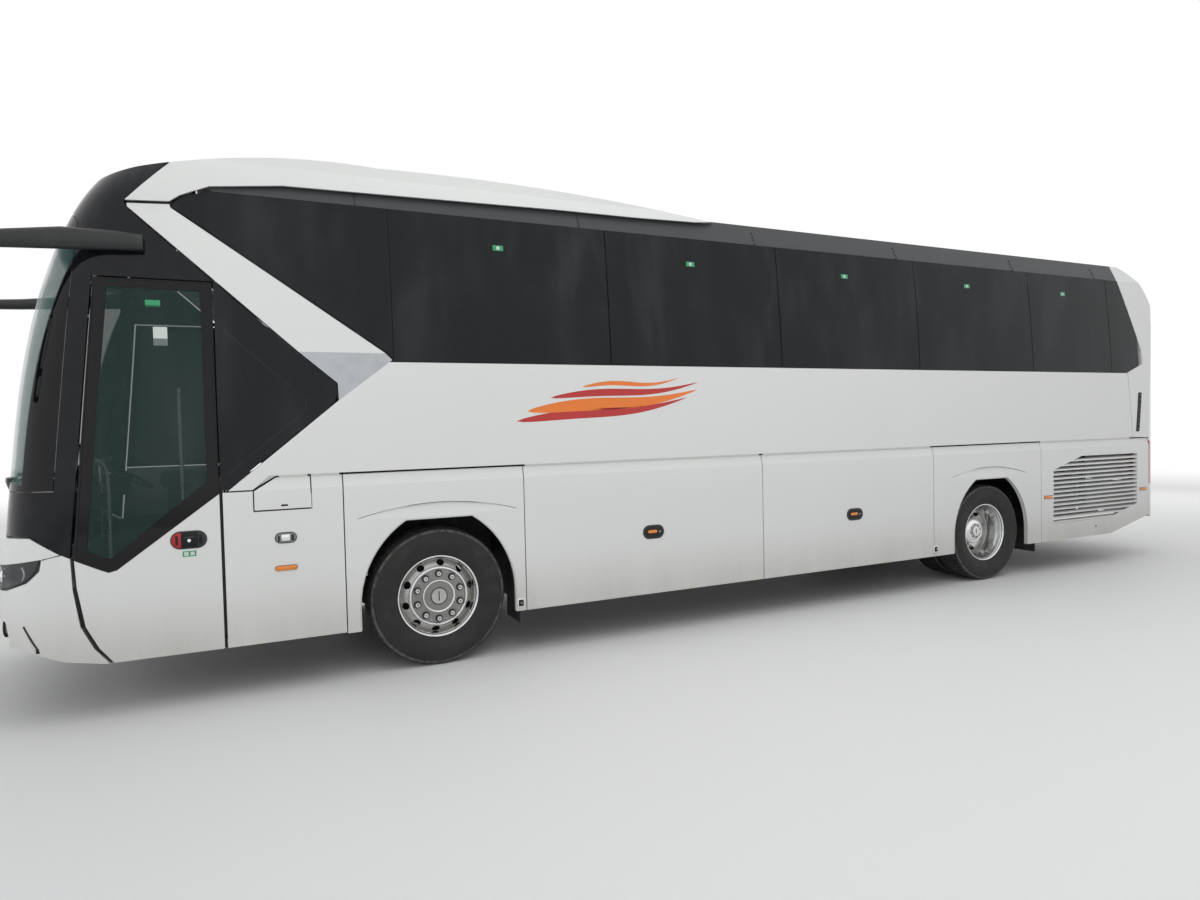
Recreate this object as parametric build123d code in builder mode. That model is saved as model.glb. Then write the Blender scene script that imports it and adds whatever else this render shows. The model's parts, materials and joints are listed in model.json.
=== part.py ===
from build123d import *
from math import radians, sin, cos, sqrt
import os

# A two-axle touring coach, in millimetres.
# The front faces -Y, the left side with the passenger door faces +X, +Z is up and Z = 0 is the ground.
# Y = 0 is midway between the mirror tips and the rear bumper, X = 0 is the centre plane.

# Overall sizes
HALF_WIDTH = 1275
WHEELBASE = 6060
FRONT_OVERHANG = 2850
REAR_OVERHANG = 3200
MIRROR_REACH = 580
TOP = 3870

# Heights
SKIRT_BOTTOM = 350
SKIRT_BEVEL = 1400
SKIRT_TOP = 1485
WALL_BOTTOM = 1500
BARREL_START = 1600
BELT = 2285
CANT = 3412
SHOULDER = 3610
CROWN = 3705
FLOOR_TOP = 1420
FLOOR_THICK = 60
HOLD_FLOOR = 430
CAB_FLOOR = 1060
DOOR_TOP = 2795
SCREEN_BOTTOM = 1450
SCREEN_TOP = 3280

# Half widths at the cantrail and at the roof's shoulder
CANT_HALF = 1175
SHOULDER_HALF = 1085

# Thicknesses and gaps
WALL = 60
SKIRT_THICK = 45
GLASS = 12
GLUE = 1
SKIRT_TUCK = 23
SCREEN_GLASS = 18
DOOR_THICK = 45
GAP = 8
SEAL_GAP = 20
PROUD = 6

# Roof hatches
HATCHES = (700, 3700)
HATCH_SIZE = 800
HATCH_TOP = 3748

# Stations along Y
MID = (FRONT_OVERHANG + MIRROR_REACH - REAR_OVERHANG) / 2
FRONT_AXLE = MID - WHEELBASE / 2
REAR_AXLE = MID + WHEELBASE / 2
NOSE = FRONT_AXLE - FRONT_OVERHANG
TAIL = REAR_AXLE + REAR_OVERHANG
DOOR_REAR = NOSE + 1380
DOOR_WIDTH = 830
DOOR_FRONT = DOOR_REAR - DOOR_WIDTH
DOOR_LEAN = 150
FRONT_ARCH_START = FRONT_AXLE - 683
FRONT_ARCH_END = FRONT_AXLE + 672
REAR_ARCH_START = REAR_AXLE - 887
REAR_ARCH_END = REAR_AXLE + 820
HOLD_SPLIT = FRONT_AXLE + 2984
TAIL_SEAM = TAIL - 324
FIRST_PILLAR = FRONT_AXLE - 300
PILLAR_PITCH = 1770
PILLAR_WIDTH = 100
PILLAR_COUNT = 5
LAST_PILLAR = TAIL - 1050

# Wheels
TYRE_RADIUS = 522
TYRE_WIDTH = 295
BEAD_RADIUS = 286
WHEEL_INSET = 60
TWIN_SPACING = 330
KINGPIN_INSET = 137.5
ARCH_HALF = 588
ARCH_FLAT = 250
ARCH_SPRING = 520
FRONT_ARCH_TOP = 1131
REAR_ARCH_TOP = 1120
BLISTER_RISE = 96
BLISTER_DEPTH = 16
TYRE_CENTRE = HALF_WIDTH - WHEEL_INSET - TYRE_WIDTH / 2
KINGPIN = TYRE_CENTRE - KINGPIN_INSET
TWIN_INNER = TYRE_CENTRE - TWIN_SPACING

LEFT, RIGHT = 1, -1
FAR = 2000
SECTION_FLOOR = 300


def prism_x(points, x0, x1, border=0):
    """Prism over a side-view outline of (y, z) points drawn in by a border, from x0 to x1."""
    with BuildPart() as prism:
        with BuildSketch(Plane.YZ.offset(x0)):
            with BuildLine():
                Polyline(*points, close=True)
            make_face()
            if border:
                offset(amount=-border, kind=Kind.INTERSECTION)
        extrude(amount=x1 - x0)
    return prism.part


def prism_y(points, y0, y1):
    """Prism over a front-view outline of (x, z) points, from y0 to y1."""
    with BuildPart() as prism:
        with BuildSketch(Plane.XZ.offset(-y1)):
            with BuildLine():
                Polyline(*points, close=True)
            make_face()
        extrude(amount=y1 - y0)
    return prism.part


def prism_z(points, z0, z1):
    """Prism over a plan outline of (x, y) points, from z0 to z1."""
    with BuildPart() as prism:
        with BuildSketch(Plane.XY.offset(z0)):
            with BuildLine():
                Polyline(*points, close=True)
            make_face()
        extrude(amount=z1 - z0)
    return prism.part


def block(x0, x1, y0, y1, z0, z1):
    """Plain box between two corners."""
    with BuildPart() as box:
        with Locations(((x0 + x1) / 2, (y0 + y1) / 2, (z0 + z1) / 2)):
            Box(abs(x1 - x0), abs(y1 - y0), abs(z1 - z0))
    return box.part


def side_x(side, x0, x1):
    """The X span from x0 out to x1 on one side, lowest first."""
    return (x0, x1) if side == LEFT else (-x1, -x0)


def by_front(points):
    """Side-view points given from the front axle, placed on the coach."""
    return [(FRONT_AXLE + along, height) for along, height in points]


def by_rear(points):
    """Side-view points given from the rear axle, placed on the coach."""
    return [(REAR_AXLE + along, height) for along, height in points]


def panel(outer, keep, inner=None, cuts=()):
    """What an envelope keeps inside a region, less its inner envelope and its cuts."""
    with BuildPart() as made:
        add(outer)
        add(keep, mode=Mode.INTERSECT)
        if inner is not None:
            add(inner, mode=Mode.SUBTRACT)
        for cut in cuts:
            add(cut, mode=Mode.SUBTRACT)
    return made.part


def joined(parts):
    """Several solids as one part."""
    with BuildPart() as made:
        for part in parts:
            add(part)
    return made.part


def mirrored(part):
    """The same part on the other side of the centre plane."""
    with BuildPart() as made:
        add(part)
        mirror(about=Plane.YZ, mode=Mode.REPLACE)
    return made.part


# The front: horizontal sections of (height, how far the centre line lies behind the nose)
FRONT_SECTIONS = (
    (300, 50),
    (1000, 55),
    (1450, 80),
    (1900, 130),
    (2400, 210),
    (2800, 310),
    (3150, 440),
    (3450, 610),
    (3700, 930),
    (3900, 1330),
)
BUMPER_SECTIONS = ((SKIRT_BOTTOM - 5, 70), (600, 5), (900, 0), (1250, 15))
BOW_RADIUS = 4500
CORNER_RADIUS = 350
FRONT_END = DOOR_REAR + 600
BARREL_RADIUS = ((CANT - BARREL_START) ** 2 + (HALF_WIDTH - CANT_HALF) ** 2) / (2 * (HALF_WIDTH - CANT_HALF))


def half_width_at(height):
    """Half width of the body's barrel side at a height."""
    up = max(0, height - BARREL_START)
    return HALF_WIDTH - (BARREL_RADIUS - sqrt(BARREL_RADIUS**2 - up**2))


def front_plan(height, behind, inset):
    """Plan of the front at a height: straight sides, rounded corners and a bowed face."""
    half = half_width_at(height) - inset
    corner = CORNER_RADIUS - inset
    bow = BOW_RADIUS - inset
    face = NOSE + behind + inset
    across = half - corner
    corner_y = face + bow - sqrt((bow - corner) ** 2 - across**2)
    touch = (across * bow / (bow - corner), face + bow - (face + bow - corner_y) * bow / (bow - corner))
    bend = (across + corner * cos(radians(45)), corner_y - corner * sin(radians(45)))
    with BuildSketch(Plane.XY.offset(height)) as plan:
        with BuildLine():
            Line((-half, FRONT_END), (half, FRONT_END))
            for side in (LEFT, RIGHT):
                Line((side * half, FRONT_END), (side * half, corner_y))
                ThreePointArc((side * half, corner_y), (side * bend[0], bend[1]), (side * touch[0], touch[1]))
            ThreePointArc((-touch[0], touch[1]), (0, face), (touch[0], touch[1]))
        make_face()
    return plan.sketch


def front_loft(table, inset):
    """The front's form, from its table of sections."""
    with BuildPart() as made:
        loft(sections=[front_plan(height, behind, inset) for height, behind in table])
    return made.part


# The dome's centre line as (distance behind the nose, height), turned about an axis low under the coach
DOME_LINE = ((400, 3300), (640, 3520), (980, 3690), (1500, 3806), (2500, TOP - 12), (4000, TOP - 22), (5620, 3715))
DOME_AXIS = TOP - 4600
DOME_SWING = 22
SKY = TOP + 900


def sky(inset):
    """All the space above the dome's crown, lowered by an inset."""
    line = [(NOSE + back, height - inset) for back, height in DOME_LINE]
    front, rear = line[0][0] - 600, line[-1][0]
    with BuildPart() as made:
        with BuildSketch(Plane.YZ):
            with BuildLine():
                ThreePointArc(line[0], line[1], line[2])
                ThreePointArc(line[2], line[3], line[4])
                ThreePointArc(line[4], line[5], line[6])
                Polyline(line[6], (rear, SKY), (front, SKY), (front, line[0][1] - 500), line[0])
            make_face()
        revolve(axis=Axis((0, 0, DOME_AXIS), (0, 1, 0)), revolution_arc=DOME_SWING)
        mirror(about=Plane.YZ)
    return made.part


# The fairing's cross-section: its foot, a point of its side's curve and its shoulder, as (half width, height)
FAIRING_CURVE = ((1205, 3240), (1178, 3480), (1105, 3650), (930, SKY - 300))
FAIRING_SKIN = 22


def fairing_form(inset):
    """The fairing's long form up to its own side curve and the dome's crown."""
    foot, hip, shoulder, top = [(half - inset, height) for half, height in FAIRING_CURVE]
    with BuildPart() as made:
        with BuildSketch(Plane.XZ.offset(-(NOSE + DOME_LINE[-1][0]))):
            with BuildLine():
                for side in (LEFT, RIGHT):
                    Line((0, foot[1]), (side * foot[0], foot[1]))
                    ThreePointArc((side * foot[0], foot[1]), (side * hip[0], hip[1]), (side * shoulder[0], shoulder[1]))
                    Line((side * shoulder[0], shoulder[1]), (side * top[0], top[1]))
                Line((-top[0], top[1]), (top[0], top[1]))
            make_face()
        extrude(amount=DOME_LINE[-1][0])
    return panel(made.part, block(-FAR, FAR, NOSE, TAIL, foot[1] - 10, SKY), cuts=[sky(inset)])


def body_section(inset):
    """Cross-section from the skirt over the barrel side, the shoulder and the crown, inset by a wall."""
    half = HALF_WIDTH - inset
    cant = CANT_HALF - inset
    shoulder = SHOULDER_HALF - inset * 0.7
    rise = SHOULDER - inset * 0.75
    with BuildSketch(Plane.XZ) as section:
        with BuildLine():
            Line((-half, SECTION_FLOOR), (half, SECTION_FLOOR))
            for side in (LEFT, RIGHT):
                Line((side * half, SECTION_FLOOR), (side * half, BARREL_START))
                TangentArc((side * half, BARREL_START), (side * cant, CANT), tangent=(0, 1))
                Line((side * cant, CANT), (side * shoulder, rise))
            ThreePointArc((-shoulder, rise), (0, CROWN - inset), (shoulder, rise))
        make_face()
    return section.sketch


def body_envelope(inset, y0, y1):
    """The body's outer or inset form between two stations."""
    with BuildPart() as made:
        with BuildSketch(Plane.XZ.offset(-y1)):
            add(body_section(inset))
        extrude(amount=y1 - y0)
    return made.part


def skirt_envelope(inset):
    """The skirt's form, bevelled inward at its top, along the whole coach."""
    half = HALF_WIDTH - inset
    bevel = half - SKIRT_TUCK
    outline = [(half, SECTION_FLOOR), (half, SKIRT_BEVEL), (bevel, SKIRT_TOP), (bevel, SKIRT_TOP + 40)]
    return prism_y(outline + [(-x, z) for x, z in reversed(outline)], NOSE + 300, TAIL)


# The rear: plan corners, and a side profile of tangent arcs as (distance ahead of the tail, height)
REAR_CORNER = 300
REAR_BOW = 9000
REAR_PROFILE = ((0, 1700), (110, 2950), (640, 3600), (1300, CROWN + 25))


def rear_form(inset):
    """The tail's form: the body's section with rounded plan corners and a leaning rear face."""
    face = TAIL - inset
    half = HALF_WIDTH + 1 - inset
    radius = REAR_CORNER - inset
    start = TAIL - 2200
    profile = [(face - ahead, height if ahead == 0 else height - inset * 0.8) for ahead, height in REAR_PROFILE]
    with BuildPart() as made:
        with BuildSketch(Plane.XY.offset(SECTION_FLOOR)) as plan:
            with BuildLine():
                Polyline((-half, face - 100), (-half, start), (half, start), (half, face - 100))
                ThreePointArc((-half, face - 100), (0, face), (half, face - 100))
            make_face()
            fillet(plan.vertices().group_by(Axis.Y)[-1], radius)
        extrude(amount=SKY - SECTION_FLOOR)
        with BuildSketch(Plane.YZ.offset(-FAR)):
            with BuildLine():
                base = Line((face, SECTION_FLOOR), profile[0])
                back = TangentArc(profile[0], profile[1], tangent=base % 1)
                brow = TangentArc(profile[1], profile[2], tangent=back % 1)
                top = TangentArc(profile[2], profile[3], tangent=brow % 1)
                Polyline(top @ 1, (start, profile[3][1]), (start, SECTION_FLOOR), (face, SECTION_FLOOR))
            make_face()
        extrude(amount=2 * FAR, mode=Mode.INTERSECT)
        with BuildSketch(Plane.XZ.offset(-TAIL - 10)):
            add(body_section(inset))
        extrude(amount=2200, mode=Mode.INTERSECT)
    return made.part


# Envelopes, each cut into panels below
front_outer = panel(front_loft(FRONT_SECTIONS, 0), block(-FAR, FAR, NOSE - 50, FRONT_END, 340, SKY), cuts=[sky(0)])
front_inner = panel(front_loft(FRONT_SECTIONS, WALL), block(-FAR, FAR, NOSE - 50, FRONT_END, 330, SKY), cuts=[sky(WALL)])
front_glass = panel(front_loft(FRONT_SECTIONS, SCREEN_GLASS), block(-FAR, FAR, NOSE - 50, FRONT_END, 330, SKY),
                    cuts=[sky(SCREEN_GLASS)])
bumper_outer = front_loft(BUMPER_SECTIONS, 0)
bumper_inner = front_loft(BUMPER_SECTIONS, SKIRT_THICK)
side_outer = body_envelope(0, NOSE + 350, TAIL - 500)
side_glass = body_envelope(GLASS, NOSE + 340, TAIL - 490)
side_recess = body_envelope(GLASS + GLUE, NOSE + 330, TAIL - 480)
side_leaf = body_envelope(DOOR_THICK, NOSE + 330, TAIL - 480)
side_inner = body_envelope(WALL, NOSE + 330, TAIL - 480)
skirt_outer = skirt_envelope(0)
skirt_inner = skirt_envelope(SKIRT_THICK)
rear_outer = rear_form(0)
rear_glass = rear_form(GLASS)
rear_recess = rear_form(GLASS + GLUE)
rear_leaf = rear_form(SKIRT_THICK)
rear_inner = rear_form(WALL)
fairing_outer = fairing_form(0)
fairing_inner = fairing_form(FAIRING_SKIN)

# The fuel flap's edges
FUEL_START = FRONT_AXLE - 1259
FUEL_END = FRONT_AXLE - 900
FUEL_BOTTOM = 1267

# Side-view outlines as (distance behind the front axle, height)
DOOR_NOSE = [(DOOR_FRONT + 19, 850), (DOOR_FRONT + 57, 605), (DOOR_FRONT + 125, 459),
             (DOOR_FRONT + 201, SKIRT_BOTTOM + 8)]
CAB_NOSE = [(DOOR_FRONT + 5, 842), (DOOR_FRONT + 37, 609), (DOOR_FRONT + 105, 464), (DOOR_FRONT + 186, SKIRT_BOTTOM + 8)]
DOOR_OUTLINE = [(DOOR_REAR, SKIRT_BOTTOM + 8), (DOOR_REAR, DOOR_TOP), (DOOR_FRONT + 168, DOOR_TOP),
                (DOOR_FRONT + 9, 1057)] + DOOR_NOSE
DOOR_PANE = [(DOOR_REAR - 6, 1388), (DOOR_REAR - 6, DOOR_TOP - 6), (DOOR_FRONT + 173, DOOR_TOP - 6),
             (DOOR_FRONT + 18, 1020), (DOOR_FRONT + 150, 950), (DOOR_FRONT + 190, 931), (DOOR_FRONT + 236, 943)]
DOOR_SIGHT = [(DOOR_REAR - 70, 1480), (DOOR_REAR - 70, DOOR_TOP - 60), (DOOR_FRONT + 235, DOOR_TOP - 60),
              (DOOR_FRONT + 80, 1075), (DOOR_FRONT + 200, 1015)]
QUARTER_PANE = [(DOOR_REAR + 10, 1415)] + by_front([(-1425, 1415), (-714, 2001), (-702, 2128), (-957, 2343)]) + [
    (DOOR_REAR + 10, 2806)]
TRIM_TOP = 2348
TRIM_TIP = (-309, 2301)
TRIM_FOOT = (-690, 2010)
TRIM_SLOPE = (TRIM_TIP[0] - TRIM_FOOT[0]) / (TRIM_TIP[1] - TRIM_FOOT[1])
TRIM = by_front([(-945, TRIM_TOP), (-356, TRIM_TOP), TRIM_TIP, TRIM_FOOT, (-694, 2131)])
BAND = by_front([(-945, TRIM_TOP), (-356, TRIM_TOP), (-1693, 3278), (-1697, 3300), (-1938, 3284), (-1936, 3262)])
WALL_OUTLINE = by_front([(-1416, 1408), (-1266, 1408), (-1160, WALL_BOTTOM)]) + by_rear(
    [(2538, WALL_BOTTOM), (2462, BELT)]) + by_front(
        [(TRIM_FOOT[0] + (BELT - TRIM_FOOT[1]) * TRIM_SLOPE, BELT), TRIM_FOOT])
FAIRING_EDGE = by_front([(-1947, 3300), (-1697, 3316), (-1634, 3364), (-1461, 3444), (-1005, 3504), (-510, 3514),
                         (1070, 3549), (1800, 3556), (2400, 3575), (2735, 3612), (2735, SKY), (-1440, SKY),
                         (-1570, 3720), (-1750, 3520)])
ARCH_OUTLINE = [(DOOR_REAR + 2, DOOR_TOP + 10), (DOOR_REAR + 2, 2812)] + by_front(
    [(-1946, 3256), (-1955, 3296), (-1758, 3522), (-1578, 3722), (-1450, SKY)]) + [
    (NOSE - 100, SKY), (NOSE - 100, SCREEN_BOTTOM), (DOOR_FRONT + 29, SCREEN_BOTTOM),
    (DOOR_FRONT + 158, DOOR_TOP + 10)]
SCREEN_OUTLINE = [(NOSE - 100, SCREEN_BOTTOM + 8), (DOOR_FRONT - 80, SCREEN_BOTTOM + 8), (DOOR_FRONT + 84, 3160),
                  (DOOR_FRONT + 20, SCREEN_TOP), (NOSE - 100, SCREEN_TOP)]
MASK_OUTLINE = [(NOSE - 100, SCREEN_BOTTOM), (DOOR_FRONT + 28, SCREEN_BOTTOM), (DOOR_FRONT - 10, 1057),
                (DOOR_FRONT - 10, 1046), (DOOR_FRONT - 75, 1085), (DOOR_FRONT - 215, 1185), (NOSE - 100, 1195)]
BUMPER_OUTLINE = [(DOOR_FRONT + 176, SKIRT_BOTTOM + 8), (DOOR_FRONT + 97, 460), (DOOR_FRONT + 28, 606),
                  (DOOR_FRONT - 4, 842), (DOOR_FRONT - 10, 1038), (DOOR_FRONT - 78, 1077), (DOOR_FRONT - 218, 1177),
                  (NOSE - 100, 1187), (NOSE - 100, 520), (NOSE + 260, 495), (NOSE + 490, 400), (NOSE + 700, SKIRT_BOTTOM + 8)]
LAMP_OUTLINE = [(NOSE + 393, 1047), (NOSE + 380, 975), (NOSE + 310, 905), (NOSE + 190, 858), (NOSE - 100, 858),
                (NOSE - 100, 1010), (NOSE + 130, 1010)]
LAMP_INNER = 640
FOG_DEPTH = 28
FOG_OUTLINE = [(690, 500), (1112, 492), (1176, 640), (1110, 668), (640, 668)]

# Saloon windows: pillars and the seams between panes
SEAMS = [FIRST_PILLAR + PILLAR_PITCH * i for i in range(PILLAR_COUNT)] + [LAST_PILLAR]
PANE_GAP = 8
SIGHT_BORDER = 50
PANE_BOTTOM = BELT + 8


def pane_outline(index):
    """Side-view outline of one saloon pane, between seam number index - 1 and seam number index."""
    if index == 0:
        return [(SEAMS[0] - 4, PANE_BOTTOM + 17), (SEAMS[0] - 4, CANT)] + by_front(
            [(-1470, CANT), (-1634, 3352), (-1680, 3300), (-1682, 3283), (-347, 2355)])
    if index < len(SEAMS):
        y0, y1 = SEAMS[index - 1] + PANE_GAP / 2, SEAMS[index] - PANE_GAP / 2
        return [(y0, PANE_BOTTOM), (y1, PANE_BOTTOM), (y1, CANT), (y0, CANT)]
    return [(SEAMS[-1] + PANE_GAP / 2, PANE_BOTTOM)] + by_rear([(2450, PANE_BOTTOM), (2763, 2405), (2763, 2565),
                                                          (2392, CANT)]) + [(SEAMS[-1] + PANE_GAP / 2, CANT)]


def side_prism(points, border=0, low=600):
    """A side-view outline, drawn in by a border, as a region on the left side."""
    return prism_x(points, low, FAR, border)


def arch_cut(axle, top, low=0):
    """The wheel-arch opening about an axle, on the left side: upright sides, round shoulders and a flat crown."""
    with BuildPart() as made:
        with BuildSketch(Plane.YZ.offset(low)):
            with BuildLine():
                Line((axle - ARCH_HALF, 0), (axle - ARCH_HALF, ARCH_SPRING))
                TangentArc((axle - ARCH_HALF, ARCH_SPRING), (axle - ARCH_FLAT, top), tangent=(0, 1))
                Line((axle - ARCH_FLAT, top), (axle + ARCH_FLAT, top))
                TangentArc((axle + ARCH_HALF, ARCH_SPRING), (axle + ARCH_FLAT, top), tangent=(0, 1))
                Polyline((axle + ARCH_HALF, ARCH_SPRING), (axle + ARCH_HALF, 0), (axle - ARCH_HALF, 0))
            make_face()
        extrude(amount=FAR - low)
    return made.part


def blister(y0, y1, foot):
    """Scoop over an arch: a crescent that is flush along its straight foot and deepest along its round crest."""
    with BuildPart() as crescent:
        with BuildSketch(Plane.YZ.offset(600)):
            with BuildLine():
                ThreePointArc((y0, foot + 8), ((y0 + y1) / 2, foot + BLISTER_RISE), (y1, foot + 8))
                Polyline((y1, foot + 8), (y1 - 360, foot - 4), (y0 + 360, foot - 4), (y0, foot + 8))
            make_face()
        extrude(amount=FAR - 600)
    wedge = prism_y([(HALF_WIDTH - BLISTER_DEPTH, foot + BLISTER_RISE), (HALF_WIDTH, foot - 4), (FAR, foot - 4),
                     (FAR, foot + BLISTER_RISE)], y0, y1)
    return panel(wedge, crescent.part)


HINGE_X = HALF_WIDTH - 26
HINGE_Z = SKIRT_TOP - 2
HINGE_ROD = 5
HINGE_PLAY = 0.3
HINGE_RUNS = [(FUEL_END + 8, FRONT_ARCH_START - 20), (FUEL_START + 160, FUEL_END - 14),
              (FRONT_ARCH_END + 20, HOLD_SPLIT - 20), (HOLD_SPLIT + 20, REAR_ARCH_START - 20),
              (REAR_ARCH_END + 20, REAR_AXLE + 2520)]


def hinge_bar(radius, y0, y1):
    """Round bar along the flaps' hinge line on the left side."""
    with BuildPart() as made:
        with BuildSketch(Plane.XZ.offset(-y1)):
            with Locations((HINGE_X, HINGE_Z)):
                Circle(radius)
        extrude(amount=y1 - y0)
    return made.part


def hinge_relief(y0, y1):
    """Room for the hinge bar in a flap's top edge."""
    return joined([hinge_bar(HINGE_ROD + HINGE_PLAY, y0, y1),
                   block(HINGE_X - HINGE_ROD, HINGE_X + FAR / 2, y0, y1, HINGE_Z, SKIRT_TOP + 60)])


# Sides
with BuildPart() as side_walls:
    add(panel(side_outer, side_prism(WALL_OUTLINE), side_inner))
    for y0, y1 in HINGE_RUNS:
        add(hinge_bar(HINGE_ROD, y0, y1))
        add(block(HINGE_X - 2, HINGE_X + 2, y0, y1, HINGE_Z, WALL_BOTTOM + 1))
    mirror(about=Plane.YZ)

with BuildPart() as slant_bands:
    add(panel(side_outer, side_prism(BAND), side_inner))
    mirror(about=Plane.YZ)

with BuildPart() as corner_trims:
    add(panel(side_outer, side_prism(TRIM), side_leaf))
    mirror(about=Plane.YZ)

panes = [panel(side_outer, side_prism(pane_outline(i)), side_glass) for i in range(len(SEAMS) + 1)]
quarter_pane = panel(side_outer, side_prism(QUARTER_PANE), side_glass)
CAB_PANE = [(DOOR_REAR - 4, SCREEN_BOTTOM + 58), (DOOR_REAR - 4, DOOR_TOP), (DOOR_FRONT + 168, DOOR_TOP),
            (DOOR_FRONT + 45, SCREEN_BOTTOM + 58)]
cab_pane = mirrored(panel(side_outer, side_prism(CAB_PANE), side_glass))
with BuildPart() as side_windows:
    for pane in panes + [quarter_pane]:
        add(pane)
    mirror(about=Plane.YZ)
    add(cab_pane)

# Frames behind the panes: pillars, cantrails and the borders of the cab's windows
frame_zone = side_prism([(SEAMS[0] + 4, BELT + 4)] + by_rear(
    [(2455, BELT + 4), (2765, 2403), (2765, 2566), (2394, CANT + 2)]) + by_front(
        [(-1470, CANT + 2), (-1640, 3350), (-1680, 3300), (-1682, 3283), (-347, 2355), (-300, 2306)]))
sights = [side_prism(pane_outline(i), SIGHT_BORDER) for i in range(len(SEAMS) + 1)]
cant_zone = side_prism([(FRONT_AXLE - 1455, CANT + 2), (TAIL - 812, CANT + 2), (TAIL - 812, SHOULDER + 20),
                        (FRONT_AXLE - 1455, SHOULDER + 20)], low=SHOULDER_HALF - 20)
quarter_border = panel(side_recess, side_prism(QUARTER_PANE), side_inner, [side_prism(QUARTER_PANE, SIGHT_BORDER)])
cab_border = panel(side_recess, side_prism(CAB_PANE), side_inner, [side_prism(CAB_PANE, SIGHT_BORDER)])
with BuildPart() as window_frames:
    add(panel(side_recess, frame_zone, side_inner, sights))
    add(panel(side_outer, cant_zone, side_inner))
    add(quarter_border)
    mirror(about=Plane.YZ)
    add(mirrored(cab_border))

with BuildPart() as roof:
    add(panel(side_outer, block(-SHOULDER_HALF + 26, SHOULDER_HALF - 26, FRONT_AXLE - 1455, TAIL - 812, 3500, SKY), side_inner))
    for y in HATCHES:
        with BuildSketch(Plane.XY.offset(HATCH_TOP - 70)):
            with Locations((0, y)):
                RectangleRounded(HATCH_SIZE, HATCH_SIZE, 60)
        extrude(amount=70, taper=14)

with BuildPart() as roof_fairing:
    add(panel(fairing_outer, prism_x(FAIRING_EDGE, -FAR, FAR), fairing_inner, [body_envelope(-2, NOSE, TAIL)]))

# Front
screen_zone = prism_x(SCREEN_OUTLINE, -FAR, FAR)
with BuildPart() as front_arch:
    add(panel(front_outer, prism_x(ARCH_OUTLINE, -FAR, FAR), front_inner, [screen_zone]))

with BuildPart() as windscreen:
    add(panel(front_outer, prism_x(SCREEN_OUTLINE, -FAR, FAR, 4), front_glass))

with BuildPart() as front_mask:
    add(panel(front_outer, prism_x(MASK_OUTLINE, -FAR, FAR), front_inner))

lamp_zone = joined([prism_x(LAMP_OUTLINE, LAMP_INNER, FAR), prism_x(LAMP_OUTLINE, -FAR, -LAMP_INNER)])
fog_recess = panel(prism_y(FOG_OUTLINE, NOSE - 100, NOSE + 700), block(0, FAR, NOSE - 100, NOSE + 700, 400, 800),
                   front_loft(BUMPER_SECTIONS, FOG_DEPTH))
with BuildPart() as front_bumper:
    add(panel(bumper_outer, prism_x(BUMPER_OUTLINE, -FAR, FAR), bumper_inner,
              [lamp_zone, fog_recess, mirrored(fog_recess)]))

with BuildPart() as headlamps:
    lamp_block = prism_x(LAMP_OUTLINE, LAMP_INNER + 3, FAR, 3)
    add(panel(bumper_outer, lamp_block, bumper_inner))
    mirror(about=Plane.YZ)

# Skirt panels between the door and the tail
FUEL_OUTLINE = [(FUEL_START, FUEL_BOTTOM), (FUEL_START, 1397), (FUEL_START + 143, SKIRT_TOP), (FUEL_END, SKIRT_TOP),
                (FUEL_END, FUEL_BOTTOM)]
fuel_gap = side_prism([(FUEL_START - 8, FUEL_BOTTOM - 10), (FUEL_START - 8, SKIRT_TOP + 60), (FUEL_END + 8, SKIRT_TOP + 60),
                       (FUEL_END + 8, FUEL_BOTTOM - 10)])
SERVICE_OUTLINE = [(DOOR_REAR + SEAL_GAP, SKIRT_BOTTOM + 8), (DOOR_REAR + SEAL_GAP, 1398)] + by_front(
    [(-1264, 1398), (-1118, SKIRT_TOP)]) + [(FRONT_ARCH_START - 4, SKIRT_TOP), (FRONT_ARCH_START - 4, SKIRT_BOTTOM + 8)]
with BuildPart() as service_flap_left:
    add(panel(skirt_outer, side_prism(SERVICE_OUTLINE), skirt_inner, [fuel_gap, hinge_relief(FUEL_END, FRONT_ARCH_START)]))

with BuildPart() as fuel_flap:
    add(panel(skirt_outer, side_prism(FUEL_OUTLINE), skirt_envelope(20), [hinge_relief(FUEL_START, FUEL_END)]))

CAB_SIDE_OUTLINE = [(DOOR_REAR - 4, SKIRT_BOTTOM + 8), (DOOR_REAR - 4, SCREEN_BOTTOM + 50),
                    (DOOR_FRONT + 44, SCREEN_BOTTOM + 50), (DOOR_FRONT + 2, 1057)] + CAB_NOSE
with BuildPart() as cab_side:
    add(mirrored(panel(side_outer, side_prism(CAB_SIDE_OUTLINE), side_leaf)))

with BuildPart() as service_flap_right:
    add(mirrored(panel(skirt_outer, side_prism(SERVICE_OUTLINE), skirt_inner, [hinge_relief(DOOR_REAR, FRONT_ARCH_START)])))


def skirt_panel(y0, y1, cuts=()):
    """A skirt panel of full height on the left side between two stations."""
    zone = side_prism([(y0, SKIRT_BOTTOM), (y0, SKIRT_TOP), (y1, SKIRT_TOP), (y1, SKIRT_BOTTOM)])
    return panel(skirt_outer, zone, skirt_inner, cuts)


with BuildPart() as wheel_arch_panels:
    add(skirt_panel(FRONT_ARCH_START + 4, FRONT_ARCH_END - 4,
                    [arch_cut(FRONT_AXLE, FRONT_ARCH_TOP), blister(FRONT_AXLE - 611, FRONT_AXLE + 627, 1150)]))
    add(skirt_panel(REAR_ARCH_START + 4, REAR_ARCH_END - 4,
                    [arch_cut(REAR_AXLE, REAR_ARCH_TOP), blister(REAR_AXLE - 620, REAR_AXLE + 575, 1149)]))
    mirror(about=Plane.YZ)

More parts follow.
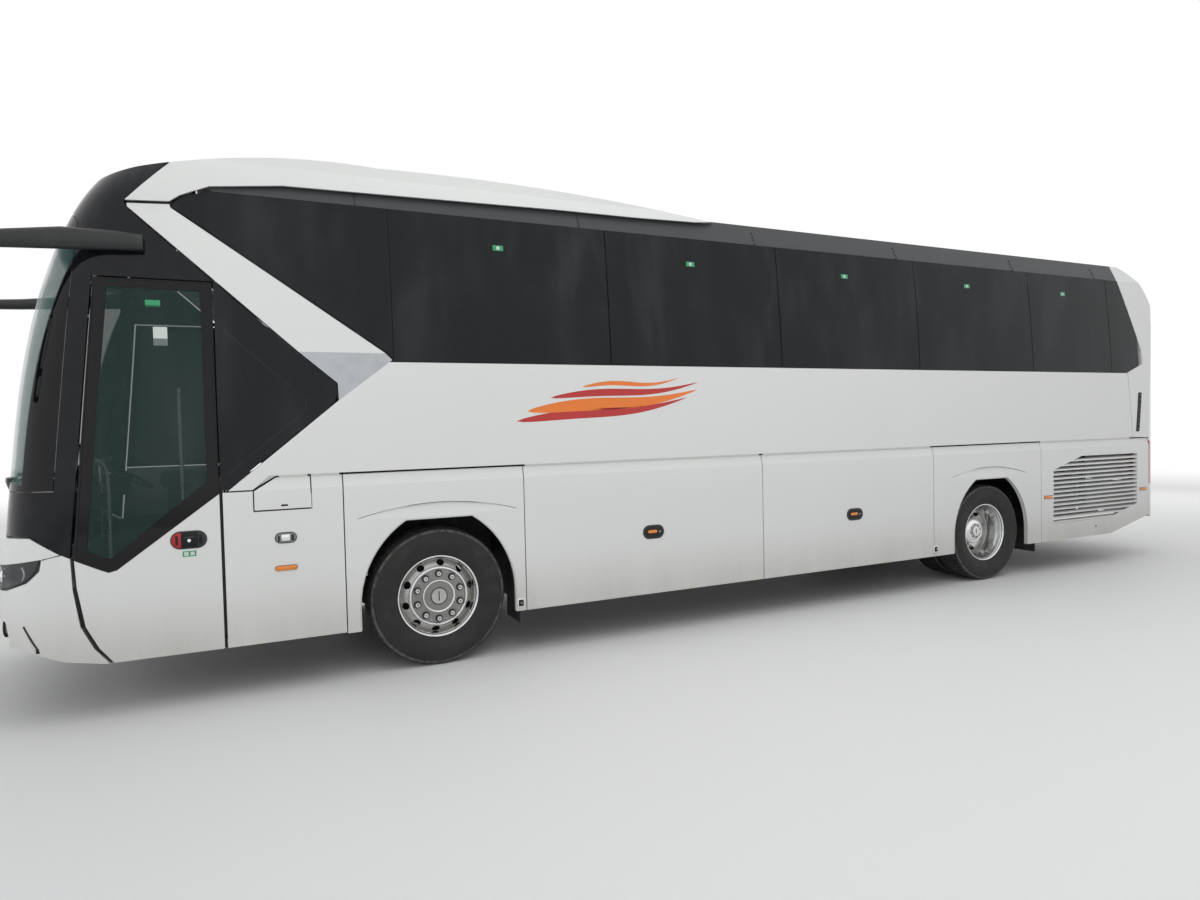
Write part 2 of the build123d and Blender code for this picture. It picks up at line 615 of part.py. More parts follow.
front_hold = skirt_panel(FRONT_ARCH_END + 4, HOLD_SPLIT - 4, [hinge_relief(FRONT_ARCH_END, HOLD_SPLIT)])
rear_hold = skirt_panel(HOLD_SPLIT + 4, REAR_ARCH_START - 4, [hinge_relief(HOLD_SPLIT, REAR_ARCH_START)])
with BuildPart() as luggage_flap_front_left:
    add(front_hold)
with BuildPart() as luggage_flap_rear_left:
    add(rear_hold)
with BuildPart() as luggage_flap_front_right:
    add(mirrored(front_hold))
with BuildPart() as luggage_flap_rear_right:
    add(mirrored(rear_hold))

# Engine-side flaps with their louvres
GRILLE_END = REAR_AXLE + 2872
grille_outline = [(REAR_ARCH_END + 4, SKIRT_BOTTOM), (REAR_ARCH_END + 4, SKIRT_TOP), (GRILLE_END, SKIRT_TOP), (GRILLE_END, 526)
                  ] + by_rear([(2098, SKIRT_BOTTOM)])
GRILLE_FIELD = by_rear([(1039, 1161), (1552, 1307), (2636, 1301), (2636, 686), (2098, 547), (1035, 546)])
LOUVRES = 15
LOUVRE_PITCH = 50
grille_field = prism_x(GRILLE_FIELD, 600, FAR)
louvre_bars = joined([
    prism_y([(1233, 562 + i * LOUVRE_PITCH), (1271, 548 + i * LOUVRE_PITCH), (1271, 566 + i * LOUVRE_PITCH),
             (1233, 580 + i * LOUVRE_PITCH)], REAR_AXLE + 900, REAR_AXLE + 2800) for i in range(LOUVRES)])
louvres = panel(louvre_bars, grille_field)
grille = joined([panel(skirt_outer, side_prism(grille_outline), skirt_inner,
                       [grille_field, hinge_relief(REAR_ARCH_END, GRILLE_END + 10)]), louvres])
with BuildPart() as grille_flap_left:
    add(grille)
with BuildPart() as grille_flap_right:
    add(mirrored(grille))

# Rear
REAR_ZONE = by_rear([(2880, 1450), (2880, WALL_BOTTOM - 6), (2546, WALL_BOTTOM), (2470, BELT + 8), (2771, 2401), (2771, 2567),
                     (2400, CANT + 2)]) + [(TAIL - 804, CANT + 10), (TAIL - 804, SKY), (TAIL + 100, SKY), (TAIL + 100, 1450)]
LID = (880, 922, 1960)
PANE = (1010, 2330, 3150)
LAMP_ZONE = (LID[1] - 8, 1450)
LID_AXIS = (TAIL - 8, LID[2] + 4)
lid_cut = block(-LID[0] - 8, LID[0] + 8, TAIL - 700, TAIL + 50, LID[1] - 60, LID[2] + 14)
pane_zone = block(-PANE[0], PANE[0], TAIL - 900, TAIL + 50, PANE[1], PANE[2])
pane_hole = block(-PANE[0] + 60, PANE[0] - 60, TAIL - 900, TAIL + 50, PANE[1] + 60, PANE[2] - 60)
with BuildPart() as rear_shell:
    add(panel(rear_outer, prism_x(REAR_ZONE, -FAR, FAR), rear_inner,
              [lid_cut, pane_hole, panel(rear_outer, block(-PANE[0] - 3, PANE[0] + 3, TAIL - 900, TAIL + 50,
                                                           PANE[1] - 3, PANE[2] + 3), rear_recess)]))
    for x in (-300, 300):
        with BuildSketch(Plane.YZ.offset(x - 120)):
            with Locations(LID_AXIS):
                Circle(HINGE_ROD)
            with Locations((LID_AXIS[0] - 2, LID_AXIS[1] + 8)):
                Rectangle(4, 16)
        extrude(amount=240)

with BuildPart() as rear_window:
    add(panel(rear_outer, pane_zone, rear_glass))

with BuildPart() as engine_lid:
    add(panel(rear_outer, block(-LID[0], LID[0], TAIL - 700, TAIL + 50, LID[1], LID[2]), rear_leaf))
    for x in (-300, 300):
        with BuildSketch(Plane.YZ.offset(x - 125)):
            with Locations(LID_AXIS):
                Circle(HINGE_ROD + HINGE_PLAY)
        extrude(amount=250, mode=Mode.SUBTRACT)

with BuildPart() as tail_lamps:
    add(panel(rear_outer, block(LID[0] + 8, FAR, REAR_AXLE + 2880, TAIL + 50, LAMP_ZONE[0], LAMP_ZONE[1]), rear_leaf))
    mirror(about=Plane.YZ)

with BuildPart() as rear_bumper:
    add(panel(rear_outer, block(-FAR, FAR, REAR_AXLE + 2880, TAIL + 50, 500, LID[1] - 8), rear_leaf))

# Floor and entrance
FLOOR_HALF = HALF_WIDTH - WALL - 3
SKIN = 28
AISLE = 420
with BuildPart() as saloon_floor:
    add(block(-FLOOR_HALF, FLOOR_HALF, DOOR_REAR + 200, TAIL - 700, FLOOR_TOP - FLOOR_THICK, FLOOR_TOP))
    add(block(-FLOOR_HALF, AISLE, DOOR_FRONT + 20, DOOR_REAR + 200, CAB_FLOOR - SKIN, CAB_FLOOR))
    add(block(-1000, AISLE, NOSE + 280, DOOR_FRONT + 20, CAB_FLOOR - SKIN, CAB_FLOOR))
    add(prism_y([(AISLE, CAB_FLOOR - SKIN), (AISLE, CAB_FLOOR), (AISLE + 1, CAB_FLOOR), (AISLE + 1, 850), (AISLE + 261, 850),
                 (AISLE + 261, 640), (AISLE + 521, 640), (AISLE + 521, HOLD_FLOOR), (AISLE + 493, HOLD_FLOOR), (AISLE + 493, 612),
                 (AISLE + 233, 612), (AISLE + 233, 822), (AISLE - 27, 822), (AISLE - 27, CAB_FLOOR - SKIN)],
                DOOR_FRONT - 40, DOOR_REAR + 8))
    add(prism_x([(DOOR_REAR + 160, FLOOR_TOP - FLOOR_THICK), (DOOR_REAR + 160, 1240), (DOOR_REAR - 100, 1240),
                 (DOOR_REAR - 100, CAB_FLOOR), (DOOR_REAR - 72, CAB_FLOOR), (DOOR_REAR - 72, 1212), (DOOR_REAR + 200, 1212),
                 (DOOR_REAR + 200, FLOOR_TOP - FLOOR_THICK)], -300, AISLE))
    add(block(-FLOOR_HALF, -300, DOOR_REAR + 172, DOOR_REAR + 200, CAB_FLOOR, FLOOR_TOP - FLOOR_THICK))

# Underframe: rails, wheel housings, hold floor, bulkheads and the front pan
RAIL = 380
RAIL_HALF = 45
HOUSING_INNER = 500
HOUSING_TOP = 1220
PLATE = 20
TOW_X = 450
TOW_BACK = 240
TOW_Z = 455
TOW_RADIUS = 20
TOW_DEPTH = 90
FRAME_TOP = FLOOR_TOP - FLOOR_THICK
FRAME_HALF = HALF_WIDTH - SKIRT_THICK - 12
front_bulk = FRONT_ARCH_START + 20
rear_bulk = FRONT_ARCH_END - 20
front_bulk_2 = REAR_ARCH_START + 220
rear_bulk_2 = REAR_ARCH_END - 20
with BuildPart() as underframe:
    for side in (LEFT, RIGHT):
        x0, x1 = side_x(side, RAIL - RAIL_HALF, RAIL + RAIL_HALF)
        add(block(x0, x1, front_bulk, TAIL - 400, 1000, 1100))
        add(block(x0, x1, front_bulk, TAIL - 400, HOUSING_TOP, FRAME_TOP))
    for y in (front_bulk, rear_bulk, front_bulk_2, rear_bulk_2):
        add(block(-FRAME_HALF, FRAME_HALF, y - PLATE / 2, y + PLATE / 2, 400, FRAME_TOP))
    for y0, y1 in ((front_bulk, rear_bulk), (front_bulk_2, rear_bulk_2)):
        add(block(-FRAME_HALF, FRAME_HALF, y0, y1, HOUSING_TOP, HOUSING_TOP + PLATE))
    add(block(-FRAME_HALF, FRAME_HALF, rear_bulk, front_bulk_2, 400, HOLD_FLOOR))
    add(block(-FRAME_HALF, FRAME_HALF, DOOR_REAR + 30, front_bulk, 400, HOLD_FLOOR))
    add(block(-1180, 1180, DOOR_FRONT - 60, DOOR_REAR + 30, 400, HOLD_FLOOR))
    add(block(-1000, 1000, NOSE + 260, DOOR_FRONT - 60, 540, 570))
    add(block(-1000, 1000, DOOR_FRONT - 80, DOOR_FRONT - 60, 400, 570))
    add(block(-20, 20, rear_bulk, front_bulk_2, HOLD_FLOOR, FRAME_TOP))
    add(block(TOW_X - 45, TOW_X + 45, NOSE + TOW_BACK, NOSE + TOW_BACK + TOW_DEPTH + 30, TOW_Z - 40, 540))
    with BuildSketch(Plane.XZ.offset(-NOSE - TOW_BACK)):
        with Locations((TOW_X, TOW_Z)):
            Circle(TOW_RADIUS)
    extrude(amount=-TOW_DEPTH, mode=Mode.SUBTRACT)
    for side in (LEFT, RIGHT):
        x0, x1 = side_x(side, 470, 530)
        add(block(x0, x1, rear_bulk_2, TAIL - 120, 470, 530))
        add(block(x0, x1, TAIL - 460, TAIL - 400, 530, FRAME_TOP))

with BuildPart() as engine:
    add(block(-500, 500, REAR_AXLE + 1350, REAR_AXLE + 2650, 530, 990))

# Axles, knuckles and wheels
BEAM = 60
PIN_RADIUS = 22
BORE_RADIUS = 24
SPINDLE = 40
LUG_INNER = 62
LUG_OUTER = 110
HUB_LENGTH = 120
RUN = 1
with BuildPart() as front_axle:
    add(block(-KINGPIN + 60, KINGPIN - 60, FRONT_AXLE - BEAM, FRONT_AXLE + BEAM, TYRE_RADIUS - 130, TYRE_RADIUS - 30))
    for side in (LEFT, RIGHT):
        x0, x1 = side_x(side, KINGPIN - 120, KINGPIN - 20)
        add(block(x0, x1, FRONT_AXLE - 45, FRONT_AXLE + 45, TYRE_RADIUS - 60, TYRE_RADIUS + 60))
        with Locations((side * KINGPIN, FRONT_AXLE, TYRE_RADIUS)):
            Cylinder(50, 120)
            Cylinder(BORE_RADIUS, 120, mode=Mode.SUBTRACT)
        with Locations((side * RAIL, FRONT_AXLE, (TYRE_RADIUS - 30 + 1000) / 2)):
            Cylinder(110, 1000 - TYRE_RADIUS + 30)

with BuildPart() as rear_axle:
    with BuildSketch(Plane.YZ.offset(-TWIN_INNER + TYRE_WIDTH / 2 + 20)):
        with Locations((REAR_AXLE, TYRE_RADIUS)):
            Circle(95)
    extrude(amount=2 * (TWIN_INNER - TYRE_WIDTH / 2 - 20))
    with BuildSketch(Plane.YZ.offset(-TYRE_CENTRE)):
        with Locations((REAR_AXLE, TYRE_RADIUS)):
            Circle(SPINDLE)
    extrude(amount=2 * TYRE_CENTRE)
    with Locations((0, REAR_AXLE, TYRE_RADIUS)):
        Sphere(210)
    for side in (LEFT, RIGHT):
        with Locations((side * RAIL, REAR_AXLE, (TYRE_RADIUS + 1000) / 2)):
            Cylinder(110, 1000 - TYRE_RADIUS)


def knuckle(side):
    """Steering knuckle: two lugs on a kingpin, a web beyond the beam's eye, and the spindle."""
    with BuildPart() as made:
        for sign in (1, -1):
            with Locations((side * KINGPIN, FRONT_AXLE, TYRE_RADIUS + sign * (LUG_INNER + LUG_OUTER) / 2)):
                Cylinder(50, LUG_OUTER - LUG_INNER)
            x0, x1 = side_x(side, KINGPIN, KINGPIN + 90)
            z0, z1 = sorted((TYRE_RADIUS + sign * LUG_INNER, TYRE_RADIUS + sign * LUG_OUTER))
            add(block(x0, x1, FRONT_AXLE - 45, FRONT_AXLE + 45, z0, z1))
        x0, x1 = side_x(side, KINGPIN + 58, KINGPIN + 90)
        add(block(x0, x1, FRONT_AXLE - 45, FRONT_AXLE + 45, TYRE_RADIUS - LUG_OUTER, TYRE_RADIUS + LUG_OUTER))
        with Locations((side * KINGPIN, FRONT_AXLE, TYRE_RADIUS)):
            Cylinder(PIN_RADIUS, 2 * LUG_OUTER)
        with BuildSketch(Plane.YZ.offset(side * (KINGPIN + 80))):
            with Locations((FRONT_AXLE, TYRE_RADIUS)):
                Circle(SPINDLE)
        extrude(amount=side * (TYRE_CENTRE - KINGPIN + 20))
    return made.part


with BuildPart() as knuckle_left:
    add(knuckle(LEFT))
with BuildPart() as knuckle_right:
    add(knuckle(RIGHT))

# Tyre section as (distance from its middle, radius)
TYRE_SECTION = ((105, BEAD_RADIUS), (105, 314), (146, 400), (140, 490), (112, TYRE_RADIUS))
RIM_EDGE = 113


def tyre(side, centre, axle):
    """One tyre about a wheel's axis."""
    half = [(side * centre + x, r) for x, r in TYRE_SECTION]
    other = [(side * centre - x, r) for x, r in reversed(TYRE_SECTION)]
    with BuildPart() as made:
        with BuildSketch(Plane.XZ.offset(-axle)):
            with BuildLine():
                Polyline(*[(x, TYRE_RADIUS + r) for x, r in half + other], close=True)
            make_face()
        revolve(axis=Axis((0, axle, TYRE_RADIUS), (1, 0, 0)))
    return made.part


def wheel_turned(side, axle, outline):
    """A solid turned about a wheel's axis from its (x, radius) outline."""
    with BuildPart() as made:
        with BuildSketch(Plane.XZ.offset(-axle)):
            with BuildLine():
                Polyline(*[(side * x, TYRE_RADIUS + r) for x, r in outline], close=True)
            make_face()
        revolve(axis=Axis((0, axle, TYRE_RADIUS), (1, 0, 0)))
    return made.part


BORE = SPINDLE + RUN
SEAT = BEAD_RADIUS - 0.5
NUT_FACE = 106
CAP_FACE = 116


def front_rim(side):
    """Front rim: flanged barrel, dished disc with hand holes, and a hub on the spindle."""
    c = TYRE_CENTRE
    barrel = wheel_turned(side, FRONT_AXLE, [
        (c - RIM_EDGE, 312), (c - 105, 312), (c - 105, SEAT), (c + 105, SEAT), (c + 105, 312), (c + RIM_EDGE, 312),
        (c + RIM_EDGE, 272), (c - RIM_EDGE, 272)])
    disc = wheel_turned(side, FRONT_AXLE, [
        (c + 58, 275), (c + 84, 258), (c + 103, 232), (c + 112, 210), (c + NUT_FACE + 7, 203), (c + NUT_FACE + 7, 198),
        (c + NUT_FACE, 192), (c + NUT_FACE, BORE), (c - 30, BORE), (c - 30, 95), (c + 92, 95), (c + 92, 186), (c + 46, 268)])
    cap = wheel_turned(side, FRONT_AXLE, [
        (c + NUT_FACE, 99), (c + CAP_FACE + 5, 98), (c + CAP_FACE + 5, 92), (c + CAP_FACE, 88), (c + CAP_FACE, 0), (c + NUT_FACE, 0)])
    with BuildPart() as made:
        add(barrel)
        add(disc)
        add(cap)
        with BuildSketch(Plane.YZ.offset(side * (c - 20))):
            with Locations((FRONT_AXLE, TYRE_RADIUS)):
                with PolarLocations(225, 10):
                    Circle(30)
        extrude(amount=side * 160, mode=Mode.SUBTRACT)
    return made.part


def rear_rim(side):
    """Twin rear rim: two flanged barrels on one deep disc and a long hub."""
    c, d = TYRE_CENTRE, TWIN_INNER
    middle = (c + d) / 2
    barrels = [wheel_turned(side, REAR_AXLE, [
        (m - RIM_EDGE, 312), (m - 105, 312), (m - 105, SEAT), (m + 105, SEAT), (m + 105, 312), (m + RIM_EDGE, 312),
        (m + RIM_EDGE, 272), (m - RIM_EDGE, 272)]) for m in (c, d)]
    disc = wheel_turned(side, REAR_AXLE, [
        (c - 60, 275), (c - 45, 275), (middle + 14, 175), (middle + 14, 120), (middle + 60, 110), (c + 50, 100), (c + 60, 80),
        (c + 60, 0), (c + 5, 0), (c + 5, BORE), (middle - 60, BORE), (middle - 60, 100), (middle - 14, 110), (middle - 14, 175),
        (d + 45, 275), (d + 60, 275), (middle, 200)])
    with BuildPart() as made:
        add(barrels[0])
        add(barrels[1])
        add(disc)
        with BuildSketch(Plane.YZ.offset(side * (middle - 120))):
            with Locations((REAR_AXLE, TYRE_RADIUS)):
                with PolarLocations(225, 10):
                    Circle(28)
        extrude(amount=side * 240, mode=Mode.SUBTRACT)
    return made.part


with BuildPart() as rim_front_left:
    add(front_rim(LEFT))
with BuildPart() as rim_front_right:
    add(front_rim(RIGHT))
with BuildPart() as rim_rear_left:
    add(rear_rim(LEFT))
with BuildPart() as rim_rear_right:
    add(rear_rim(RIGHT))
with BuildPart() as tyre_front_left:
    add(tyre(LEFT, TYRE_CENTRE, FRONT_AXLE))
with BuildPart() as tyre_front_right:
    add(tyre(RIGHT, TYRE_CENTRE, FRONT_AXLE))
with BuildPart() as tyres_rear_left:
    add(tyre(LEFT, TYRE_CENTRE, REAR_AXLE))
    add(tyre(LEFT, TWIN_INNER, REAR_AXLE))
with BuildPart() as tyres_rear_right:
    add(tyre(RIGHT, TYRE_CENTRE, REAR_AXLE))
    add(tyre(RIGHT, TWIN_INNER, REAR_AXLE))

with BuildPart() as mud_flaps:
    for y0, x0 in ((rear_bulk, 900), (rear_bulk_2, 600)):
        add(block(x0, FRAME_HALF - 2, y0 - PLATE / 2 - 8, y0 - PLATE / 2, 240, 700))
    mirror(about=Plane.YZ)

# Passenger door on its parallel arm
COLUMN_X = 1150
COLUMN_Y = DOOR_FRONT + 60
ARM_REACH = 450
ARM_Z = 760
COLUMN_RADIUS = 20
COLUMN_TOP = 1750
door_zone = side_prism(DOOR_OUTLINE)
with BuildPart() as passenger_door:
    add(panel(side_outer, door_zone, side_leaf,
              [side_prism(DOOR_SIGHT), panel(side_outer, side_prism(DOOR_PANE), side_recess)]))
    with Locations((COLUMN_X, COLUMN_Y + ARM_REACH, ARM_Z)):
        Cylinder(14, 130)
    for z in (ARM_Z - 65, ARM_Z + 45):
        add(block(COLUMN_X - 14, HALF_WIDTH - DOOR_THICK, COLUMN_Y + ARM_REACH - 20, COLUMN_Y + ARM_REACH + 20, z, z + 20))

with BuildPart() as door_glass:
    add(panel(side_outer, side_prism(DOOR_PANE, 2), side_glass))

with BuildPart() as door_arm:
    with BuildSketch(Plane.XY.offset(ARM_Z - 25)):
        with BuildLine():
            neck = Polyline((COLUMN_X - 40, COLUMN_Y), (COLUMN_X - 95, COLUMN_Y + 70), (COLUMN_X - 125, COLUMN_Y + 200),
                            (COLUMN_X - 95, COLUMN_Y + 360), (COLUMN_X, COLUMN_Y + ARM_REACH))
            offset(neck, amount=18, side=Side.BOTH)
        make_face()
    extrude(amount=50)
    for y in (COLUMN_Y, COLUMN_Y + ARM_REACH):
        with Locations((COLUMN_X, y, ARM_Z)):
            Cylinder(40, 60)
    with Locations((COLUMN_X, COLUMN_Y, ARM_Z)):
        Cylinder(COLUMN_RADIUS + 1, 200, mode=Mode.SUBTRACT)
    with Locations((COLUMN_X, COLUMN_Y + ARM_REACH, ARM_Z)):
        Cylinder(15, 200, mode=Mode.SUBTRACT)

with BuildPart() as entrance_rails:
    with Locations((COLUMN_X, COLUMN_Y, (HOLD_FLOOR + COLUMN_TOP) / 2)):
        Cylinder(COLUMN_RADIUS, COLUMN_TOP - HOLD_FLOOR)

# Cab and saloon
with BuildPart() as dashboard:
    add(panel(prism_x([(NOSE + 200, CAB_FLOOR), (NOSE + 170, 1330), (NOSE + 330, 1420), (NOSE + 620, 1380), (NOSE + 640, 1300),
                       (NOSE + 420, 1220), (NOSE + 380, CAB_FLOOR)], -1190, 400), front_loft(FRONT_SECTIONS, WALL + 6)))
    with BuildSketch(Plane((-640, NOSE + 560, 1300), x_dir=(1, 0, 0), z_dir=(0, 0.5, 0.866))):
        Circle(28)
    extrude(amount=200)
    with Locations(Location((-640, NOSE + 560 + 92, 1300 + 160), (-30, 0, 0))):
        Torus(215, 14)
        Box(410, 30, 14)

SEAT_PITCH = 780
SEAT_ROWS = 12
FIRST_SEAT = DOOR_REAR + 700
with BuildPart() as seats:
    for row in range(SEAT_ROWS):
        y = FIRST_SEAT + row * SEAT_PITCH
        add(prism_x([(y, FLOOR_TOP), (y, FLOOR_TOP + 440), (y + 430, FLOOR_TOP + 430), (y + 560, FLOOR_TOP + 1100),
                     (y + 650, FLOOR_TOP + 1100), (y + 540, FLOOR_TOP + 380), (y + 500, FLOOR_TOP)], 230, 1140))
    mirror(about=Plane.YZ)
    y = NOSE + 900
    add(prism_x([(y, CAB_FLOOR), (y, CAB_FLOOR + 430), (y + 400, CAB_FLOOR + 430), (y + 520, CAB_FLOOR + 1150),
                 (y + 620, CAB_FLOOR + 1150), (y + 520, CAB_FLOOR + 380), (y + 500, CAB_FLOOR)], -880, -400))

with BuildPart() as luggage_racks:
    add(panel(prism_y([(720, 3060), (720, 3090), (1090, 3230), (1200, 3230), (1200, 3190), (1090, 3190)], DOOR_REAR + 700, TAIL - 1000),
              body_envelope(WALL + 0.3, NOSE, TAIL)))
    mirror(about=Plane.YZ)

# Mirrors and wipers
ARM_TOP = 3088
with BuildPart() as mirrors:
    arm = prism_x([(DOOR_REAR - 345, 3010), (DOOR_REAR - 331, 3045), (DOOR_REAR - 350, 3080), (DOOR_FRONT + 15, ARM_TOP),
                   (NOSE + 265, 3048), (NOSE - 135, 3002), (NOSE - 455, 2990), (NOSE - 480, 2955), (NOSE - 455, 2905),
                   (NOSE - 135, 2915), (NOSE + 265, 2934), (DOOR_FRONT + 10, 2945), (DOOR_REAR - 400, 2972)], 1180, 1340)
    add(panel(arm, block(0, FAR, NOSE - 600, FRONT_END, 2000, 4000), body_envelope(-1, NOSE - 600, FRONT_END)))
    head = prism_z([(1130, NOSE - 430), (1135, NOSE - 500), (1175, NOSE - 555), (1240, NOSE - MIRROR_REACH),
                    (1300, NOSE - MIRROR_REACH + 4), (1360, NOSE - 535), (1390, NOSE - 480), (1390, NOSE - 430)], 2150, 2940)
    add(head)
    mirror(about=Plane.YZ)

with BuildPart() as wipers:
    for pivot, tip in ((250, 1080), (-560, 180)):
        blade = [(pivot + 40, 1500), (tip, 1520), (tip, 1545), (pivot + 40, 1525)]
        arm_line = [(pivot - 14, 1395), (pivot + 14, 1395), (pivot + (tip - pivot) * 0.45 + 16, 1500),
                    (pivot + (tip - pivot) * 0.45, 1510)]
        for outline, proud in ((blade, 24), (arm_line, 30)):
            add(panel(front_loft(FRONT_SECTIONS, -proud), prism_y(outline, NOSE - 100, NOSE + 600), front_loft(FRONT_SECTIONS, -0.5)))

os.makedirs("parts", exist_ok=True)
coach = {
    "side_walls": side_walls,
    "slant_bands": slant_bands,
    "corner_trims": corner_trims,
    "side_windows": side_windows,
    "window_frames": window_frames,
    "roof": roof,
    "roof_fairing": roof_fairing,
    "front_arch": front_arch,
    "windscreen": windscreen,
    "front_mask": front_mask,
    "front_bumper": front_bumper,
    "headlamps": headlamps,
    "service_flap_left": service_flap_left,
    "fuel_flap": fuel_flap,
    "cab_side": cab_side,
    "service_flap_right": service_flap_right,
    "wheel_arch_panels": wheel_arch_panels,
    "luggage_flap_front_left": luggage_flap_front_left,
    "luggage_flap_rear_left": luggage_flap_rear_left,
    "luggage_flap_front_right": luggage_flap_front_right,
    "luggage_flap_rear_right": luggage_flap_rear_right,
    "grille_flap_left": grille_flap_left,
    "grille_flap_right": grille_flap_right,
    "rear_shell": rear_shell,
    "rear_window": rear_window,
    "engine_lid": engine_lid,
    "tail_lamps": tail_lamps,
    "rear_bumper": rear_bumper,
    "saloon_floor": saloon_floor,
    "underframe": underframe,
    "engine": engine,
    "front_axle": front_axle,
    "rear_axle": rear_axle,
    "knuckle_left": knuckle_left,
    "knuckle_right": knuckle_right,
    "rim_front_left": rim_front_left,
    "rim_front_right": rim_front_right,
    "rim_rear_left": rim_rear_left,
    "rim_rear_right": rim_rear_right,
    "tyre_front_left": tyre_front_left,
    "tyre_front_right": tyre_front_right,
    "tyres_rear_left": tyres_rear_left,
    "tyres_rear_right": tyres_rear_right,
    "mud_flaps": mud_flaps,
    "passenger_door": passenger_door,
    "door_glass": door_glass,
    "door_arm": door_arm,
    "entrance_rails": entrance_rails,
    "dashboard": dashboard,
    "seats": seats,
    "luggage_racks": luggage_racks,
    "mirrors": mirrors,
    "wipers": wipers,
}
for name, piece in coach.items():
    piece.part.label = name
    export_step(piece.part, f"parts/{name}.step")
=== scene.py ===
"""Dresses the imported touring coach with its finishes, fittings, cab, saloon and studio."""

import json
from math import asin, atan2, cos, pi, radians, sin

import bmesh
import bpy
from bpy.props import FloatProperty, FloatVectorProperty, IntProperty, PointerProperty
from mathutils import Matrix, Vector
from mathutils.bvhtree import BVHTree


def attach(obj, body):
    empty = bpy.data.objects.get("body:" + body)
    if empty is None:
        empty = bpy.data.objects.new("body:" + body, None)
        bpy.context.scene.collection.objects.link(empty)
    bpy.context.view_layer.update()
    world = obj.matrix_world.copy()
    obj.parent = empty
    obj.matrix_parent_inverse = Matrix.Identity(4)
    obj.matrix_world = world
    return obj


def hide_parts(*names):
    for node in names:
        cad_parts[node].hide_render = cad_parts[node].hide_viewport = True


bl_info = {
    "name": "Touring Coach",
    "version": (1, 0, 0),
    "blender": (4, 5, 0),
    "location": "3D View > Sidebar > Coach",
    "description": "Finishes, fittings and studio for a touring coach around its fixed frame",
    "category": "Object",
}

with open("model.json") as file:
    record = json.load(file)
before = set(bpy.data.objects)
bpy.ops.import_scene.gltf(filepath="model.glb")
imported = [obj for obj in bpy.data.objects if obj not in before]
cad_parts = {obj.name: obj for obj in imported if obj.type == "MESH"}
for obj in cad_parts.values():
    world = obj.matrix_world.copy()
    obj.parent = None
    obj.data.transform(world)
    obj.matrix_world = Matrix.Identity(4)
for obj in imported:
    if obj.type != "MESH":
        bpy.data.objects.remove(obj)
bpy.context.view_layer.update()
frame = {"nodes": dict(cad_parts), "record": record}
NODES = frame["nodes"]
SIDES = (("left", 1), ("right", -1))

# Measures that the fittings share with the frame, in metres
FRONT_AXLE = -2.915
REAR_AXLE = 3.145
AXLE_HEIGHT = 0.522
WHEEL_X = 1.0675
TWIN_X = 0.7375
DOOR_FRONT = -5.215
DOOR_REAR = -4.385
FLOOR_TOP = 1.42
CAB_FLOOR = 1.06
NOSE = -5.765
TAIL = 6.345
FRONT_NUT_FACE = 0.106
FRONT_CAP_FACE = 0.118
REAR_NUT_DEPTH = 0.153

# Rounding: of a bar's section, of a soft block, and the angle in radians past which an edge is bevelled
BAR_ROUNDING = 3
PILLOW_ROUNDS = 3
SHARP_EDGE = 0.5

# Tints that several finishes share
ROAD_FILM = (0.33, 0.30, 0.26)
SETTLED_DUST = (0.22, 0.21, 0.20)
DRIED_RAIN = (0.30, 0.32, 0.33)
PRINTED_BLACK = (0.004, 0.004, 0.005)


class CoachColours(bpy.types.PropertyGroup):
    """The colours that a user would change"""

    def colour(name, description, default):
        return FloatVectorProperty(name=name, description=description, subtype="COLOR", size=3, min=0, max=1,
                                   default=default)

    body: colour("Body", "Cool white of the side panels", (0.735, 0.745, 0.73))
    roof: colour("Roof", "White of the roof and its fairing", (0.69, 0.70, 0.69))
    black: colour("Black", "Gloss black of the front arch and mask", (0.006, 0.007, 0.009))
    glass: colour("Side glass", "Tint of the saloon's panes", (0.008, 0.010, 0.012))
    clear: colour("Cab glass", "Tint of the door's pane and the driver's window", (0.014, 0.042, 0.036))
    screen: colour("Windscreen", "Tint of the windscreen", (0.026, 0.125, 0.113))
    red: colour("Ribbon red", "Darker colour of the side design", (0.50, 0.012, 0.012))
    orange: colour("Ribbon orange", "Lighter colour of the side design", (0.86, 0.20, 0.015))
    seat: colour("Seats", "Cloth of the seats", (0.035, 0.045, 0.085))


class CoachSizes(bpy.types.PropertyGroup):
    """The sizes that a user would change"""

    def length(name, description, default, low, high):
        return FloatProperty(name=name, description=description, default=default, min=low, max=high,
                             unit="LENGTH")

    nut_width: length("Nut width", "Width across the wheel nuts' flats", 0.036, 0.02, 0.04)
    nut_circle: length("Nut circle", "Radius of the circle of wheel nuts", 0.171, 0.1, 0.2)
    seat_width: length("Seat width", "Width of one passenger seat", 0.44, 0.38, 0.5)
    tread_depth: length("Tread depth", "Depth of the tyres' grooves", 0.012, 0.002, 0.016)
    tread_pitches: IntProperty(name="Tread pitches", description="Number of lateral slots round a tyre",
                               default=60, min=20, max=90)


class CoachStudio(bpy.types.PropertyGroup):
    """Lamps and camera"""

    def power(name, description, default):
        return FloatProperty(name=name, description=description, default=default, min=0, max=9000,
                             unit="POWER")

    sky: FloatProperty(name="Sky", description="Strength of the light from all round", default=0.42,
                       min=0, max=2)
    top_lamp: power("Top lamp", "Power of the overhead soft lamp", 620)
    key_lamp: power("Key lamp", "Power of the lamps beside the coach", 260)
    lens: FloatProperty(name="Lens", description="Focal length of the camera", default=23.055,
                        min=10, max=200, unit="CAMERA")


# Finishes


